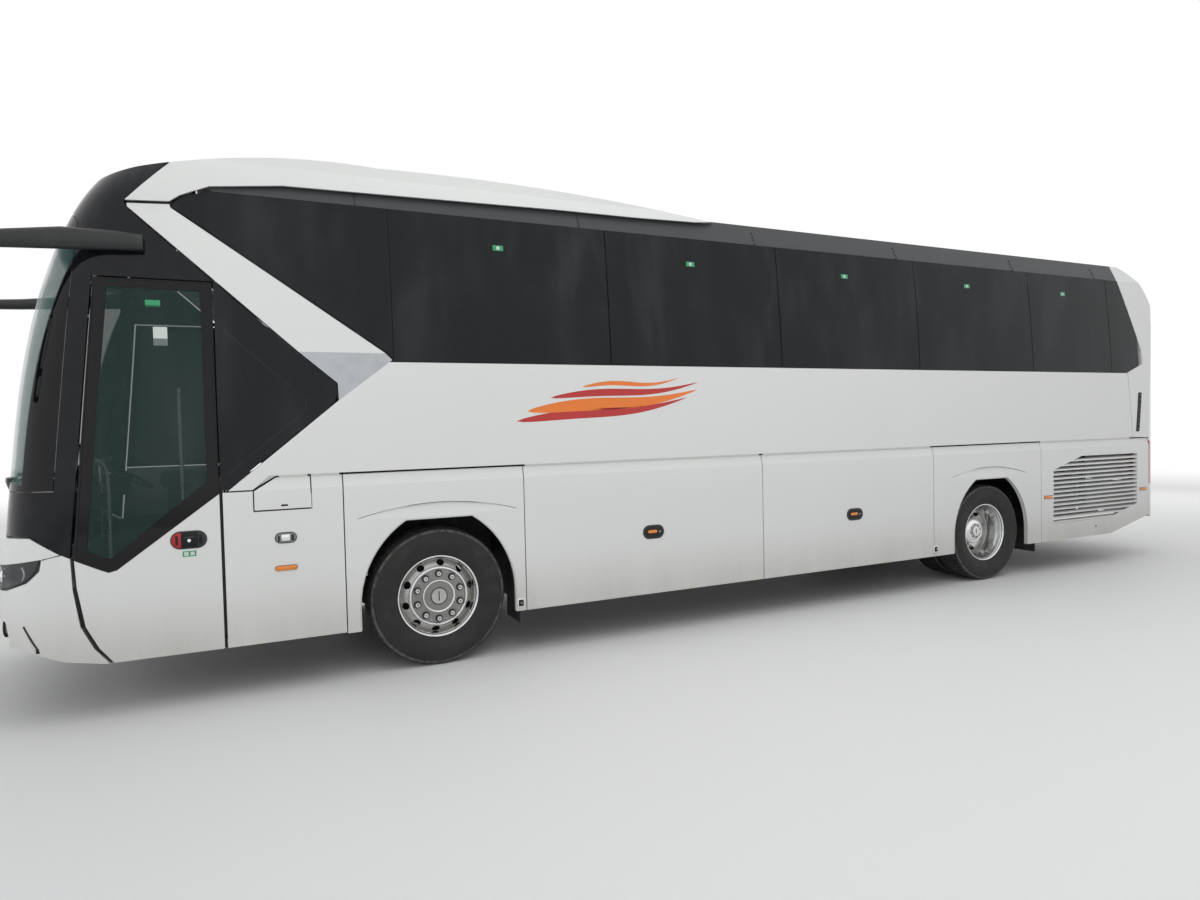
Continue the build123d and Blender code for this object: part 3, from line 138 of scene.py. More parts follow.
class Signal:
    """A socket's value in a node tree; the operators add its Math nodes."""

    def __init__(self, web, socket):
        self.web = web
        self.socket = socket

    def math(self, operation, *values):
        return self.web.add("ShaderNodeMath", {"operation": operation}, values)

    def __add__(self, other):
        return self.math("ADD", self, other)

    def __sub__(self, other):
        return self.math("SUBTRACT", self, other)

    def __rsub__(self, other):
        return self.math("SUBTRACT", other, self)

    def __mul__(self, other):
        return self.math("MULTIPLY", self, other)

    def __pow__(self, other):
        return self.math("POWER", self, other)

    def __abs__(self):
        return self.math("ABSOLUTE", self)

    __radd__ = __add__
    __rmul__ = __mul__

    def least(self, other):
        return self.math("MINIMUM", self, other)

    def most(self, other):
        return self.math("MAXIMUM", self, other)

    def wave(self):
        return self.math("SINE", self)

    def step(self, low, high):
        """0 below low, 1 above high and smooth between them."""
        return self.web.add("ShaderNodeMapRange", {"interpolation_type": "SMOOTHSTEP"},
                            {"Value": self, "From Min": low, "From Max": high})


class Web:
    """A node tree under construction."""

    def __init__(self, tree):
        self.tree = tree

    def feed(self, socket, value):
        if isinstance(value, Signal):
            self.tree.links.new(value.socket, socket)
        elif isinstance(value, tuple) and len(value) == 3 and socket.type == "RGBA":
            socket.default_value = (*value, 1)
        else:
            socket.default_value = value

    def add(self, kind, settings=None, values=(), output=0):
        """Adds a node, with its settings first and then the values or links of its sockets."""
        node = self.tree.nodes.new(kind)
        for key, value in (settings or {}).items():
            setattr(node, key, value)
        pairs = values.items() if isinstance(values, dict) else enumerate(values)
        for key, value in pairs:
            self.feed(node.inputs[key], value)
        return Signal(self, node.outputs[output]) if node.outputs else node

    def mix(self, factor, first, second):
        return self.add("ShaderNodeMix", {"data_type": "RGBA"}, {0: factor, 6: first, 7: second}, 2)

    def noise(self, scale, detail=2.0, rough=0.5, stretch=None):
        """Noise from 0 to 1 on the object's coordinates."""
        where = self.add("ShaderNodeTexCoord", output="Object")
        if stretch:
            where = self.add("ShaderNodeMapping", values={"Vector": where, "Scale": stretch})
        return self.add("ShaderNodeTexNoise", values={"Vector": where, "Scale": scale, "Detail": detail,
                                                      "Roughness": rough})

    def axes(self):
        """The object's x, y and z as three values."""
        split = self.add("ShaderNodeSeparateXYZ", values=[self.add("ShaderNodeTexCoord", output="Object")])
        return [Signal(self, split.socket.node.outputs[i]) for i in range(3)]


class Finish(Web):
    """A material with one Principled shader; constants go straight to its sockets."""

    def __init__(self, name, **constants):
        self.material = bpy.data.materials.new(name)
        self.material.use_nodes = True
        super().__init__(self.material.node_tree)
        self.shader = next(node for node in self.tree.nodes if node.type == "BSDF_PRINCIPLED")
        self.set(**constants)

    def set(self, **values):
        for key, value in values.items():
            self.feed(self.shader.inputs[key.replace("_", " ").title().replace("Ior", "IOR")], value)

    def bump(self, height, distance, strength=1.0):
        """Raises the surface by a height from 0 to 1 times a distance in metres."""
        normal = self.add("ShaderNodeBump", values={"Height": height, "Distance": distance,
                                                    "Strength": strength})
        self.set(normal=normal)


def shade(colour, factor):
    return tuple(channel * factor for channel in colour)


def paint(name, colour, film=0.0, coat=0.7, roughness=0.3):
    """Gloss paint with faint tone changes, and road film near its foot."""
    made = Finish(name, coat_weight=coat, coat_roughness=0.05)
    _, _, height = made.axes()
    tone = made.noise(0.9, 3)
    fine = made.noise(55, 4, 0.65)
    streak = made.noise(3.5, 5, 0.6, (1, 1, 0.16))
    colour_now = made.mix(tone * 0.6, shade(colour, 1.02), shade(colour, 0.955))
    low = 1 - height.step(0.30, 1.05)
    dirt = (low * low * (0.25 + streak) * film + fine.step(0.56, 0.85) * film * 0.10).least(0.8)
    made.set(base_color=made.mix(dirt, colour_now, ROAD_FILM),
             roughness=roughness + dirt * 0.45 + tone * 0.04)
    made.bump(made.noise(420, 1), 0.00008, 0.25)
    return made.material


def gloss_black(name, colour):
    """Deep gloss black with a little settled dust."""
    made = Finish(name, coat_weight=0.06, coat_roughness=0.03, specular_ior_level=0.22)
    settled = made.noise(8, 6, 0.7).step(0.45, 0.95) * 0.05 + made.noise(160, 2).step(0.62, 0.8) * 0.05
    made.set(base_color=made.mix(settled, colour, SETTLED_DUST), roughness=0.06 + settled * 1.5)
    made.bump(made.noise(1.6, 2), 0.002, 0.06)
    return made.material


def glaze(made, colour, opacity, border=None, runs=(1, 1, 0.3), ripple=0.05):
    """Tinted glass with the faintest film of dried rain, and a printed black border where it has one."""
    film = made.noise(2.5, 6, 0.6, runs).step(0.42, 0.9)
    tint = made.mix(film * 0.10, colour, DRIED_RAIN)
    if border:
        tint, opacity = made.mix(border, tint, PRINTED_BLACK), border.most(opacity)
    made.set(base_color=tint, roughness=0.02 + film * 0.05, alpha=opacity)
    made.bump(made.noise(1.1, 1), 0.003, ripple)
    return made.material


def pane(name, colour, opacity):
    """A pane that is the same all over."""
    return glaze(Finish(name, specular_ior_level=0.24), colour, opacity)


def plastic(name, colour, roughness=0.45, grain=260, depth=0.0003, worn=0.08):
    """Moulded plastic with a fine grain and paler worn places."""
    made = Finish(name)
    wear = made.noise(6, 5, 0.6).step(0.5, 0.9)
    made.set(base_color=made.mix(wear * worn, colour, shade((0.5, 0.5, 0.5), 0.7)),
             roughness=roughness + wear * 0.12)
    made.bump(made.noise(grain, 2), depth, 0.4)
    return made.material


def metal(name, colour, roughness=0.3, dust=0.25, brushed=None):
    """Bare metal with dulled and dusty places."""
    made = Finish(name)
    dull = made.noise(14, 5, 0.65).step(0.38, 0.85)
    made.set(base_color=made.mix(dull * dust, colour, (0.16, 0.145, 0.13)), metallic=1 - dull * dust * 1.3,
             roughness=roughness + dull * 0.22)
    made.bump(made.noise(180, 3, 0.6, brushed), 0.0002, 0.35)
    return made.material


def rubber(name, colour=(0.018, 0.018, 0.019), dust=0.35, rings=False):
    """Rubber greyed with road dust; a tyre's wall has fine moulded rings and a scuffed shoulder."""
    made = Finish(name, specular_ior_level=0.35)
    settled = made.noise(7, 6, 0.7).step(0.35, 0.9) * dust
    grain = made.noise(240, 3)
    height = grain
    if rings:
        x, y, z = made.axes()
        behind = y.step(0.0, 0.001)
        along = y - (behind * (REAR_AXLE - FRONT_AXLE) + FRONT_AXLE)
        radius = (along * along + (z - AXLE_HEIGHT) * (z - AXLE_HEIGHT)) ** 0.5
        height = height + ((radius * 520).wave() * 0.5).most(0)
        scuff = made.noise(26, 5, 0.7).step(0.30, 0.62)
        scuffed = radius.step(0.487, 0.494) * (1 - radius.step(0.500, 0.513)) * scuff
        tread = radius.step(0.515, 0.519) * made.noise(40, 4).step(0.35, 0.8)
        settled = (settled * 0.5 + scuffed * 0.85 + tread * 0.5).least(1)
    made.set(base_color=made.mix(settled, colour, (0.150, 0.140, 0.128)), roughness=0.62 + settled * 0.3)
    made.bump(height, 0.0006, 0.5)
    return made.material


def cloth(name, colour, thread):
    """Woven seat cloth with a small scattered pattern."""
    made = Finish(name, sheen_weight=0.35, sheen_roughness=0.4)
    x, y, z = made.axes()
    weave = ((x * thread).wave() * ((y + z) * thread).wave()) * 0.5 + 0.5
    fleck = made.noise(90, 1).step(0.60, 0.66)
    band = made.noise(11, 1).step(0.52, 0.56)
    base = made.mix(band * 0.5, colour, shade(colour, 2.2))
    made.set(base_color=made.mix(fleck * 0.55, base, (0.30, 0.16, 0.05)), roughness=0.85 + weave * 0.1)
    made.bump(weave, 0.0008, 0.6)
    return made.material


def lens(name, colour, opacity=1.0, glow=0.0, ribs=0.0):
    """Moulded lamp lens with fine optics."""
    made = Finish(name, alpha=opacity, coat_weight=0.8, coat_roughness=0.03, emission_strength=glow)
    tone = made.noise(30, 2)
    colour_now = made.mix(tone * 0.4, colour, shade(colour, 0.7))
    made.set(base_color=colour_now, roughness=0.12 + tone * 0.08)
    if glow:
        made.set(emission_color=colour_now)
    _, y, z = made.axes()
    made.bump((y * 700).wave() * (z * 700).wave() if ribs else tone, 0.0008, ribs or 0.1)
    return made.material


def design_paint(name, colour):
    """Printed film on the coach's side."""
    made = Finish(name, coat_weight=0.5, coat_roughness=0.08)
    tone = made.noise(2.2, 3)
    fade = made.noise(70, 3).step(0.5, 0.9)
    made.set(base_color=made.mix(tone * 0.35 + fade * 0.08, colour, shade(colour, 0.72)),
             roughness=0.32 + tone * 0.05)
    made.bump(made.noise(300, 1), 0.0001, 0.3)
    return made.material


def above_pane(made):
    """How far a place of the passenger door lies above its pane's lower edge, in metres."""
    _, y, z = made.axes()
    edge = ((DOOR_FRONT + 0.018, 1.020), (DOOR_FRONT + 0.150, 0.950), (DOOR_FRONT + 0.190, 0.931),
            (DOOR_FRONT + 0.236, 0.943), (DOOR_REAR - 0.006, 1.388))
    height = None
    for (y0, z0), (y1, z1) in zip(edge, edge[1:]):
        along = Vector((y1 - y0, z1 - z0)).normalized()
        over = (z - z0) * along.x - (y - y0) * along.y
        height = over if height is None else height.least(over)
    return height


def door_leaf(name, colour):
    """The passenger door: white below its pane, black round it and dark inside."""
    made = Finish(name, coat_roughness=0.05, specular_ior_level=0.26)
    x, _, z = made.axes()
    black = above_pane(made).step(-0.001, 0.001).most(1 - x.step(1.2335, 1.2345))
    tone = made.noise(0.9, 3)
    low = 1 - z.step(0.30, 1.05)
    dirt = (low * low * (0.25 + made.noise(3.5, 5, 0.6, (1, 1, 0.16))) * 0.55).least(0.8)
    white = made.mix(tone * 0.6, shade(colour, 1.02), shade(colour, 0.955))
    white = made.mix(dirt, white, ROAD_FILM)
    made.set(base_color=made.mix(black, white, (0.007, 0.007, 0.008)),
             roughness=0.3 + dirt * 0.45 + tone * 0.04, coat_weight=0.7 - black * 0.62)
    made.bump(made.noise(420, 1), 0.00008, 0.25)
    return made.material


def rim_metal(name, colour, roughness, streaks):
    """Turned and polished alloy, with road dust settled on it."""
    made = Finish(name)
    settled = made.noise(5, 4, 0.6).step(0.40, 0.95) * 0.30
    brushed = made.noise(60, 3, 0.6, (streaks, 1, 1))
    made.set(base_color=made.mix(settled, made.mix(brushed * 0.35, colour, shade(colour, 0.72)),
                                 (0.13, 0.12, 0.11)),
             metallic=1 - settled * 0.7, roughness=roughness + settled * 0.4 + brushed * 0.05)
    made.bump(brushed, 0.0001, 0.15)
    return made.material


def door_pane(name, colour):
    """The door's pane: clear where it is looked through, with a printed black border."""
    made = Finish(name, specular_ior_level=0.28)
    _, y, z = made.axes()
    rear, top = DOOR_REAR - 0.070, 2.735
    lean = (DOOR_FRONT + 0.235, 2.735), (DOOR_FRONT + 0.080, 1.075)
    foot = (DOOR_FRONT + 0.080, 1.075), (DOOR_FRONT + 0.200, 1.015)
    slope = (DOOR_FRONT + 0.200, 1.015), (rear, 1.480)
    inside = (rear - y).least(top - z)
    for (y0, z0), (y1, z1) in (lean, foot, slope):
        along = Vector((y1 - y0, z1 - z0)).normalized()
        inside = inside.least((z - z0) * along.x - (y - y0) * along.y)
    return glaze(made, colour, 0.50, 1 - inside.step(-0.004, 0.004))


def windscreen_pane(name, colour):
    """The windscreen: clear, with a printed black border along its head and sides."""
    made = Finish(name, specular_ior_level=0.28)
    x, _, z = made.axes()
    border = (z.step(3.085, 3.10)).most(abs(x).step(1.165, 1.175)).most(1 - z.step(1.50, 1.51))
    dots = (z.step(2.98, 3.09) * 0.9).most(0)
    return glaze(made, colour, 0.40, border.most(dots), None, 0.04)


def frames_finish(name):
    """Black window frames, with the satin grey strip above the panes."""
    made = Finish(name, specular_ior_level=0.32)
    _, _, z = made.axes()
    strip = z.step(3.408, 3.412)
    tone = made.noise(5, 4, 0.6)
    grey = made.mix(tone * 0.5, (0.058, 0.060, 0.064), (0.045, 0.047, 0.050))
    made.set(base_color=made.mix(strip, (0.008, 0.008, 0.009), grey),
             roughness=0.22 + strip * 0.16 + tone * 0.06)
    made.bump(made.noise(300, 2), 0.0001, 0.3)
    return made.material


def arch_finish(name, colour):
    """Gloss black of the front arch, greyer and duller towards its crown."""
    made = Finish(name, coat_weight=0.06, coat_roughness=0.05, specular_ior_level=0.24)
    _, _, z = made.axes()
    crown = z.step(3.28, 3.62)
    settled = made.noise(8, 6, 0.7).step(0.40, 0.95) * (0.04 + crown * 0.16)
    grey = made.mix(crown * 0.8, colour, (0.030, 0.031, 0.034))
    made.set(base_color=made.mix(settled, grey, SETTLED_DUST), roughness=0.07 + crown * 0.20 + settled * 0.8)
    made.bump(made.noise(1.6, 2), 0.002, 0.06)
    return made.material


_finishes = {}


def finish(name):
    """A finish by its name, made when it is first asked for."""
    if name not in _finishes:
        _finishes[name] = FINISHES[name](name, bpy.context.scene.coach_colours)
    return _finishes[name]


def plain(maker, *values, **settings):
    """A finish whose colour isn't one of the user's."""
    return lambda name, colours: maker(name, *values, **settings)


def tinted(maker, key, *values, brightness=1.0, **settings):
    """A finish in one of the user's colours."""
    return lambda name, colours: maker(name, shade(getattr(colours, key), brightness), *values, **settings)


FINISHES = {
    "white_paint": tinted(paint, "body", film=0.55),
    # The arch lips take the body's white darkened to 0.80: painted shade on the rolled lip
    "arch_lip": tinted(paint, "body", brightness=0.80, film=0.35),
    "roof_paint": tinted(paint, "roof", film=0.30, coat=0.4),
    "fairing_paint": tinted(paint, "body", brightness=0.97, film=0.12, coat=0.6),
    "black_gloss": tinted(gloss_black, "black"),
    "arch_black": tinted(arch_finish, "black"),
    "frame_dark": plain(frames_finish),
    "side_glass": tinted(pane, "glass", 0.90),
    "clear_glass": tinted(pane, "clear", 0.55),
    "door_glass": tinted(door_pane, "clear"),
    "screen_glass": tinted(windscreen_pane, "screen"),
    "door_leaf": tinted(door_leaf, "body"),
    "silver_trim": plain(metal, (0.46, 0.48, 0.50), 0.32, 0.12, (1, 1, 12)),
    "lamp_glass": plain(lens, (0.06, 0.065, 0.07), 0.45),
    "lamp_red": plain(lens, (0.36, 0.006, 0.006), ribs=0.5),
    "lamp_white": plain(lens, (0.62, 0.64, 0.64), ribs=0.4),
    "marker_amber": plain(lens, (0.86, 0.24, 0.008), ribs=0.2),
    "bumper_black": plain(plastic, (0.016, 0.017, 0.018), 0.38),
    "rim_alloy": plain(rim_metal, (0.52, 0.515, 0.50), 0.22, 0.3),
    "rim_face": plain(rim_metal, (0.27, 0.268, 0.26), 0.36, 1.0),
    "rim_bright": plain(rim_metal, (0.86, 0.865, 0.87), 0.12, 0.3),
    "nut_steel": plain(metal, (0.24, 0.24, 0.24), 0.34, 0.40),
    "polished": plain(metal, (0.82, 0.83, 0.84), 0.12, 0.06),
    "rail_steel": plain(metal, (0.60, 0.61, 0.60), 0.25, 0.1),
    "mirror_glass": plain(metal, (0.80, 0.82, 0.83), 0.03, 0.03),
    "tyre_rubber": plain(rubber, rings=True),
    "flap_rubber": plain(rubber, (0.022, 0.022, 0.022)),
    "seal_rubber": plain(rubber, (0.012, 0.012, 0.013), 0.12),
    "chassis_black": plain(plastic, (0.020, 0.020, 0.021), 0.55, 120, 0.0008, 0.25),
    "cast_grey": plain(plastic, (0.075, 0.073, 0.070), 0.6, 90, 0.001, 0.3),
    "floor_grey": plain(plastic, (0.07, 0.072, 0.076), 0.6, 60, 0.0006, 0.2),
    "dash_grey": plain(plastic, (0.045, 0.046, 0.050), 0.5, 320, 0.0005, 0.05),
    "handle_red": plain(plastic, (0.42, 0.012, 0.014), 0.35),
    "plate_white": plain(plastic, (0.62, 0.62, 0.60), 0.4),
    "rail_yellow": plain(plastic, (0.62, 0.42, 0.02), 0.4),
    "seat_fabric": tinted(cloth, "seat", 1400),
    "ribbon_red": tinted(design_paint, "red"),
    "ribbon_orange": tinted(design_paint, "orange"),
    "label_green": plain(design_paint, (0.010, 0.30, 0.12)),
    "label_pale": plain(design_paint, (0.62, 0.68, 0.64)),
}

NODE_FINISHES = {"roof_fairing": "fairing_paint", "front_arch": "arch_black", "door_glass": "door_glass",
                 "windscreen": "screen_glass", "front_mask": "black_gloss",
                 "passenger_door": "door_leaf"}


class COACH_OT_finishes(bpy.types.Operator):
    """Give every node of the frame its finish"""

    bl_idname = "coach.finishes"
    bl_label = "Frame finishes"

    def execute(self, context):
        slots = {row["node"]: row["material_slot"] for row in frame["record"]["subparts"]}
        for name, node in NODES.items():
            made = finish(NODE_FINISHES.get(name, slots[name]))
            for slot in node.material_slots:
                slot.material = made
        return {"FINISHED"}


# Shapes


def edges_at(verts):
    return {edge for vert in verts for edge in vert.link_edges}


def faces_at(verts):
    return {face for vert in verts for face in vert.link_faces}


class Shape:
    """A mesh under construction, made with bmesh operators; new faces take the finish in use."""

    def __init__(self):
        self.bm = bmesh.new()
        self.finishes = []
        self.ink = 0

    def use(self, name):
        if name not in self.finishes:
            self.finishes.append(name)
        self.ink = self.finishes.index(name)
        return self

    def settle(self, verts):
        for face in faces_at(verts):
            face.material_index = self.ink
        return verts

    def place(self, verts, middle, sizes, turn=None):
        """Scales, turns and moves vertices from the origin to where they belong."""
        matrix = Matrix.Translation(middle) @ (turn or Matrix.Identity(4)) @ Matrix.Diagonal((*sizes, 1))
        bmesh.ops.transform(self.bm, matrix=matrix, verts=verts)

    def soften(self, verts, width, segments=2):
        self.bevel([edge for edge in edges_at(verts) if edge.calc_face_angle(0) > SHARP_EDGE], width, segments)

    def bevel(self, edges, width, segments=2):
        bmesh.ops.bevel(self.bm, geom=edges, offset=width, segments=segments, profile=0.5, affect="EDGES",
                        material=-1)

    def box(self, low, high, bevel=0.0, turn=None, segments=2):
        """A box between two corners, turned about its middle."""
        low, high = (Vector([pick(pair) for pair in zip(low, high)]) for pick in (min, max))
        made = bmesh.ops.create_cube(self.bm, size=1)["verts"]
        self.place(made, (low + high) / 2, high - low, turn)
        self.settle(made)
        if bevel:
            self.soften(made, bevel, segments)
        return made

    def slab(self, place, side, out, along, up, bevel):
        """A box on the coach's side: its spans out from a point there, along the coach and up."""
        x, y, z = place
        return self.box((x + side * out[0], y + along[0], z + up[0]),
                        (x + side * out[1], y + along[1], z + up[1]), bevel)

    def cushioned(self, low, high, radius):
        """A box with broad round edges, such as a moulded housing."""
        return self.box(low, high, radius, segments=5)

    def drum(self, middle, radius, depth, axis=(1, 0, 0), segments=32, top=None, bevel=0.0):
        """A drum or cone about an axis, its top the end that the axis points to."""
        made = bmesh.ops.create_cone(self.bm, cap_ends=True, segments=segments, radius1=radius,
                                     radius2=radius if top is None else top, depth=depth)["verts"]
        turn = Vector((0, 0, 1)).rotation_difference(Vector(axis)).to_matrix().to_4x4()
        self.place(made, middle, (1, 1, 1), turn)
        self.settle(made)
        if bevel:
            self.soften(made, bevel)
        return made

    def prism(self, outline, start, end, axis="X"):
        """An outline in the plane across the x or y axis, drawn out from start to end along it."""
        corner = {"X": lambda a, b: (start, a, b), "Y": lambda a, b: (a, start, b)}[axis]
        face = self.bm.faces.new([self.bm.verts.new(corner(a, b)) for a, b in outline])
        out = bmesh.ops.extrude_face_region(self.bm, geom=[face], use_keep_orig=True)["geom"]
        moved = [item for item in out if isinstance(item, bmesh.types.BMVert)]
        shift = {"X": (end - start, 0, 0), "Y": (0, end - start, 0)}[axis]
        bmesh.ops.translate(self.bm, vec=shift, verts=moved)
        verts = moved + list(face.verts)
        bmesh.ops.recalc_face_normals(self.bm, faces=list(faces_at(verts)))
        return self.settle(verts)

    def since(self, before):
        """The vertices made since the ones before."""
        return self.settle([vert for vert in self.bm.verts if vert not in before])

    def turned(self, profile, middle, steps=48, axis=(1, 0, 0)):
        """A profile of (distance along the axis, radius) pairs spun about a level axis through a point."""
        before = set(self.bm.verts)
        middle, axis = Vector(middle), Vector(axis)
        verts = [self.bm.verts.new(middle + axis * along + Vector((0, 0, radius)))
                 for along, radius in profile]
        edges = [self.bm.edges.new(pair) for pair in zip(verts, verts[1:])]
        bmesh.ops.spin(self.bm, geom=verts + edges, cent=middle, axis=axis, angle=2 * pi, steps=steps,
                       use_merge=True)
        made = [vert for vert in self.bm.verts if vert not in before]
        bmesh.ops.remove_doubles(self.bm, verts=made, dist=1e-6)
        made = self.since(before)
        bmesh.ops.recalc_face_normals(self.bm, faces=list(faces_at(made)))
        return made

    def faced(self, profile, middle, steps=32):
        """A round fitting on the coach's front or rear: distances are along y."""
        return self.turned(profile, middle, steps, (0, 1, 0))

    def ring_of(self, middle, wide, half, count):
        """An oval ring of vertices across the coach's length."""
        made = bmesh.ops.create_circle(self.bm, segments=count, radius=1)["verts"]
        self.place(made, middle, (wide, half, 1), Matrix.Rotation(pi / 2, 4, "X"))
        return made

    def edges_of(self, ring):
        members = set(ring)
        return [edge for edge in edges_at(ring) if set(edge.verts) <= members]

    def cap(self, ring):
        bmesh.ops.contextual_create(self.bm, geom=self.edges_of(ring))

    def pill(self, middle, length, height, depth, side=1, bevel=0.0):
        """A plate with round ends that stands out from a point on the coach's side."""
        before = set(self.bm.verts)
        x, y, z = middle
        made = self.box((min(x, x + depth * side), y - length / 2, z - height / 2),
                        (max(x, x + depth * side), y + length / 2, z + height / 2))
        ends = [edge for edge in edges_at(made)
                if abs((edge.verts[0].co - edge.verts[1].co).normalized().x) > 0.9]
        self.bevel(ends, height * 0.498, 8)
        made = self.since(before)
        if bevel:
            outer = max(vert.co.x * side for vert in made)
            edges = [edge for edge in edges_at(made)
                     if all(vert.co.x * side > outer - 1e-5 for vert in edge.verts)]
            self.bevel(edges, bevel)
        return self.since(before)

    def grid(self, across, up):
        """A flat sheet one unit square in x and y, to be laid somewhere."""
        made = bmesh.ops.create_grid(self.bm, x_segments=across, y_segments=up, size=0.5)["verts"]
        return self.settle(made)

    def outward(self, verts, way):
        """Turns a sheet's faces so that they look a given way."""
        faces = list(faces_at(verts))
        for face in faces:
            face.normal_update()
        if sum((face.normal for face in faces), Vector()).dot(way) < 0:
            bmesh.ops.reverse_faces(self.bm, faces=faces)

    def tube(self, points, radius, closed=False, smooth=True):
        """A round bar along points."""
        curve = bpy.data.curves.new("bar", "CURVE")
        curve.dimensions = "3D"
        curve.bevel_depth = radius
        curve.bevel_resolution = BAR_ROUNDING
        curve.use_fill_caps = not closed
        spline = curve.splines.new("NURBS" if smooth else "POLY")
        spline.points.add(len(points) - 1)
        for point, place in zip(spline.points, points):
            point.co = (*place, 1)
        if smooth:
            spline.order_u = 3
            spline.use_endpoint_u = not closed
            spline.resolution_u = 5
        spline.use_cyclic_u = closed
        holder = bpy.data.objects.new("bar", curve)
        mesh = bpy.data.meshes.new_from_object(holder)
        before = set(self.bm.verts)
        self.bm.from_mesh(mesh)
        bpy.data.objects.remove(holder)
        bpy.data.curves.remove(curve)
        bpy.data.meshes.remove(mesh)
        return self.since(before)

    def pillow(self, low, high, cuts=5, turn=None):
        """A soft block: a cut-up box smoothed until it is crowned, then brought back to its size."""
        low, high = Vector(low), Vector(high)
        before = set(self.bm.verts)
        made = bmesh.ops.create_cube(self.bm, size=1)["verts"]
        edges = list(edges_at(made))
        bmesh.ops.subdivide_edges(self.bm, edges=edges, cuts=cuts, use_grid_fill=True)
        verts = [vert for vert in self.bm.verts if vert not in before]
        for _ in range(PILLOW_ROUNDS):
            bmesh.ops.smooth_vert(self.bm, verts=verts, factor=0.5, use_axis_x=True, use_axis_y=True,
                                  use_axis_z=True)
        reach = max(vert.co.x for vert in verts) * 2
        self.place(verts, (low + high) / 2, (high - low) / reach, turn)
        return self.settle(verts)

    def banded(self, bands, middle, side, steps=72):
        """A closed section spun about an axle, in bands of points that each have their own finish."""
        start = list(bands[0][1][:1])
        for name, points in bands:
            start += points if points[0] != start[-1] else points[1:]
            self.use(name).turned([(side * out, radius) for out, radius in start], middle, steps)
            start = start[-1:]
        bmesh.ops.remove_doubles(self.bm, verts=list(self.bm.verts), dist=2e-6)
        bmesh.ops.recalc_face_normals(self.bm, faces=list(self.bm.faces))

    def cut(self, other):
        """Takes another shape out of this one."""
        holders = []
        for shape in (self, other):
            mesh = bpy.data.meshes.new("cut")
            shape.bm.to_mesh(mesh)
            for made in self.finishes:
                mesh.materials.append(finish(made))
            holders.append(bpy.data.objects.new("cut", mesh))
            bpy.context.scene.collection.objects.link(holders[-1])
        tool = holders[0].modifiers.new("cut", "BOOLEAN")
        tool.operation = "DIFFERENCE"
        tool.object = holders[1]
        graph = bpy.context.evaluated_depsgraph_get()
        result = bpy.data.meshes.new_from_object(holders[0].evaluated_get(graph))
        self.bm.clear()
        self.bm.from_mesh(result)
        meshes = [holder.data for holder in holders] + [result]
        for holder in holders:
            bpy.data.objects.remove(holder)
        for mesh in meshes:
            bpy.data.meshes.remove(mesh)
        other.bm.free()

    def mirrored(self):
        """Adds the same shape on the coach's other side."""
        geom = list(self.bm.verts) + list(self.bm.edges) + list(self.bm.faces)
        out = bmesh.ops.mirror(self.bm, geom=geom, axis="X", merge_dist=-1)
        faces = [item for item in out["geom"] if isinstance(item, bmesh.types.BMFace)]
        bmesh.ops.recalc_face_normals(self.bm, faces=faces)
        return self

    def done(self, name, body, replaces=(), slot=None, sharp=35):
        """The finished object, riding on a body."""
        mesh = bpy.data.meshes.new(name)
        self.bm.to_mesh(mesh)
        self.bm.free()
        for made in self.finishes:
            mesh.materials.append(finish(made))
        mesh.shade_smooth()
        mesh.set_sharp_from_angle(angle=radians(sharp))
        made = bpy.data.objects.new(name, mesh)
        bpy.context.scene.collection.objects.link(made)
        if body:
            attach(made, body)
        if replaces:
            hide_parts(*replaces)
        return made


def tree_of(*names):
    """A search tree over the faces of some nodes."""
    corners, faces = [], []
    for name in names:
        mesh = NODES[name].data
        start = len(corners)
        corners += [vert.co.copy() for vert in mesh.vertices]
        faces += [[start + index for index in face.vertices] for face in mesh.polygons]
    return BVHTree.FromPolygons(corners, faces)


class Skin:
    """The coach's outer surface, to set fittings on."""

    def __init__(self, *names):
        self.tree = tree_of(*names)

    def hit(self, start, direction):
        place, normal, _, _ = self.tree.ray_cast(Vector(start), Vector(direction))
        if place is None:
            raise RuntimeError(f"nothing of the coach at {tuple(start)}")
        return place, normal

    def side(self, y, z, side=1):
        return self.hit((side * 3, y, z), (-side, 0, 0))[0].x

    def front(self, x, z):
        return self.hit((x, -9, z), (0, 1, 0))[0].y

    def rear(self, x, z):
        return self.hit((x, 9, z), (0, -1, 0))[0].y


# Wheels


TREAD_RADIUS = 0.5205
TREAD_EDGE = 0.514
TYRE_WALL = ((0.105, 0.2868), (0.109, 0.297), (0.112, 0.315), (0.1165, 0.319), (0.119, 0.325), (0.127, 0.344),
             (0.135, 0.362), (0.141, 0.385), (0.1452, 0.408), (0.1465, 0.428), (0.1452, 0.448),
             (0.1425, 0.467), (0.1385, 0.482), (0.1350, 0.4925), (0.1362, 0.4945), (0.1350, 0.4965),
             (0.1300, 0.5055), (0.1240, 0.5125), (0.1180, 0.5165))


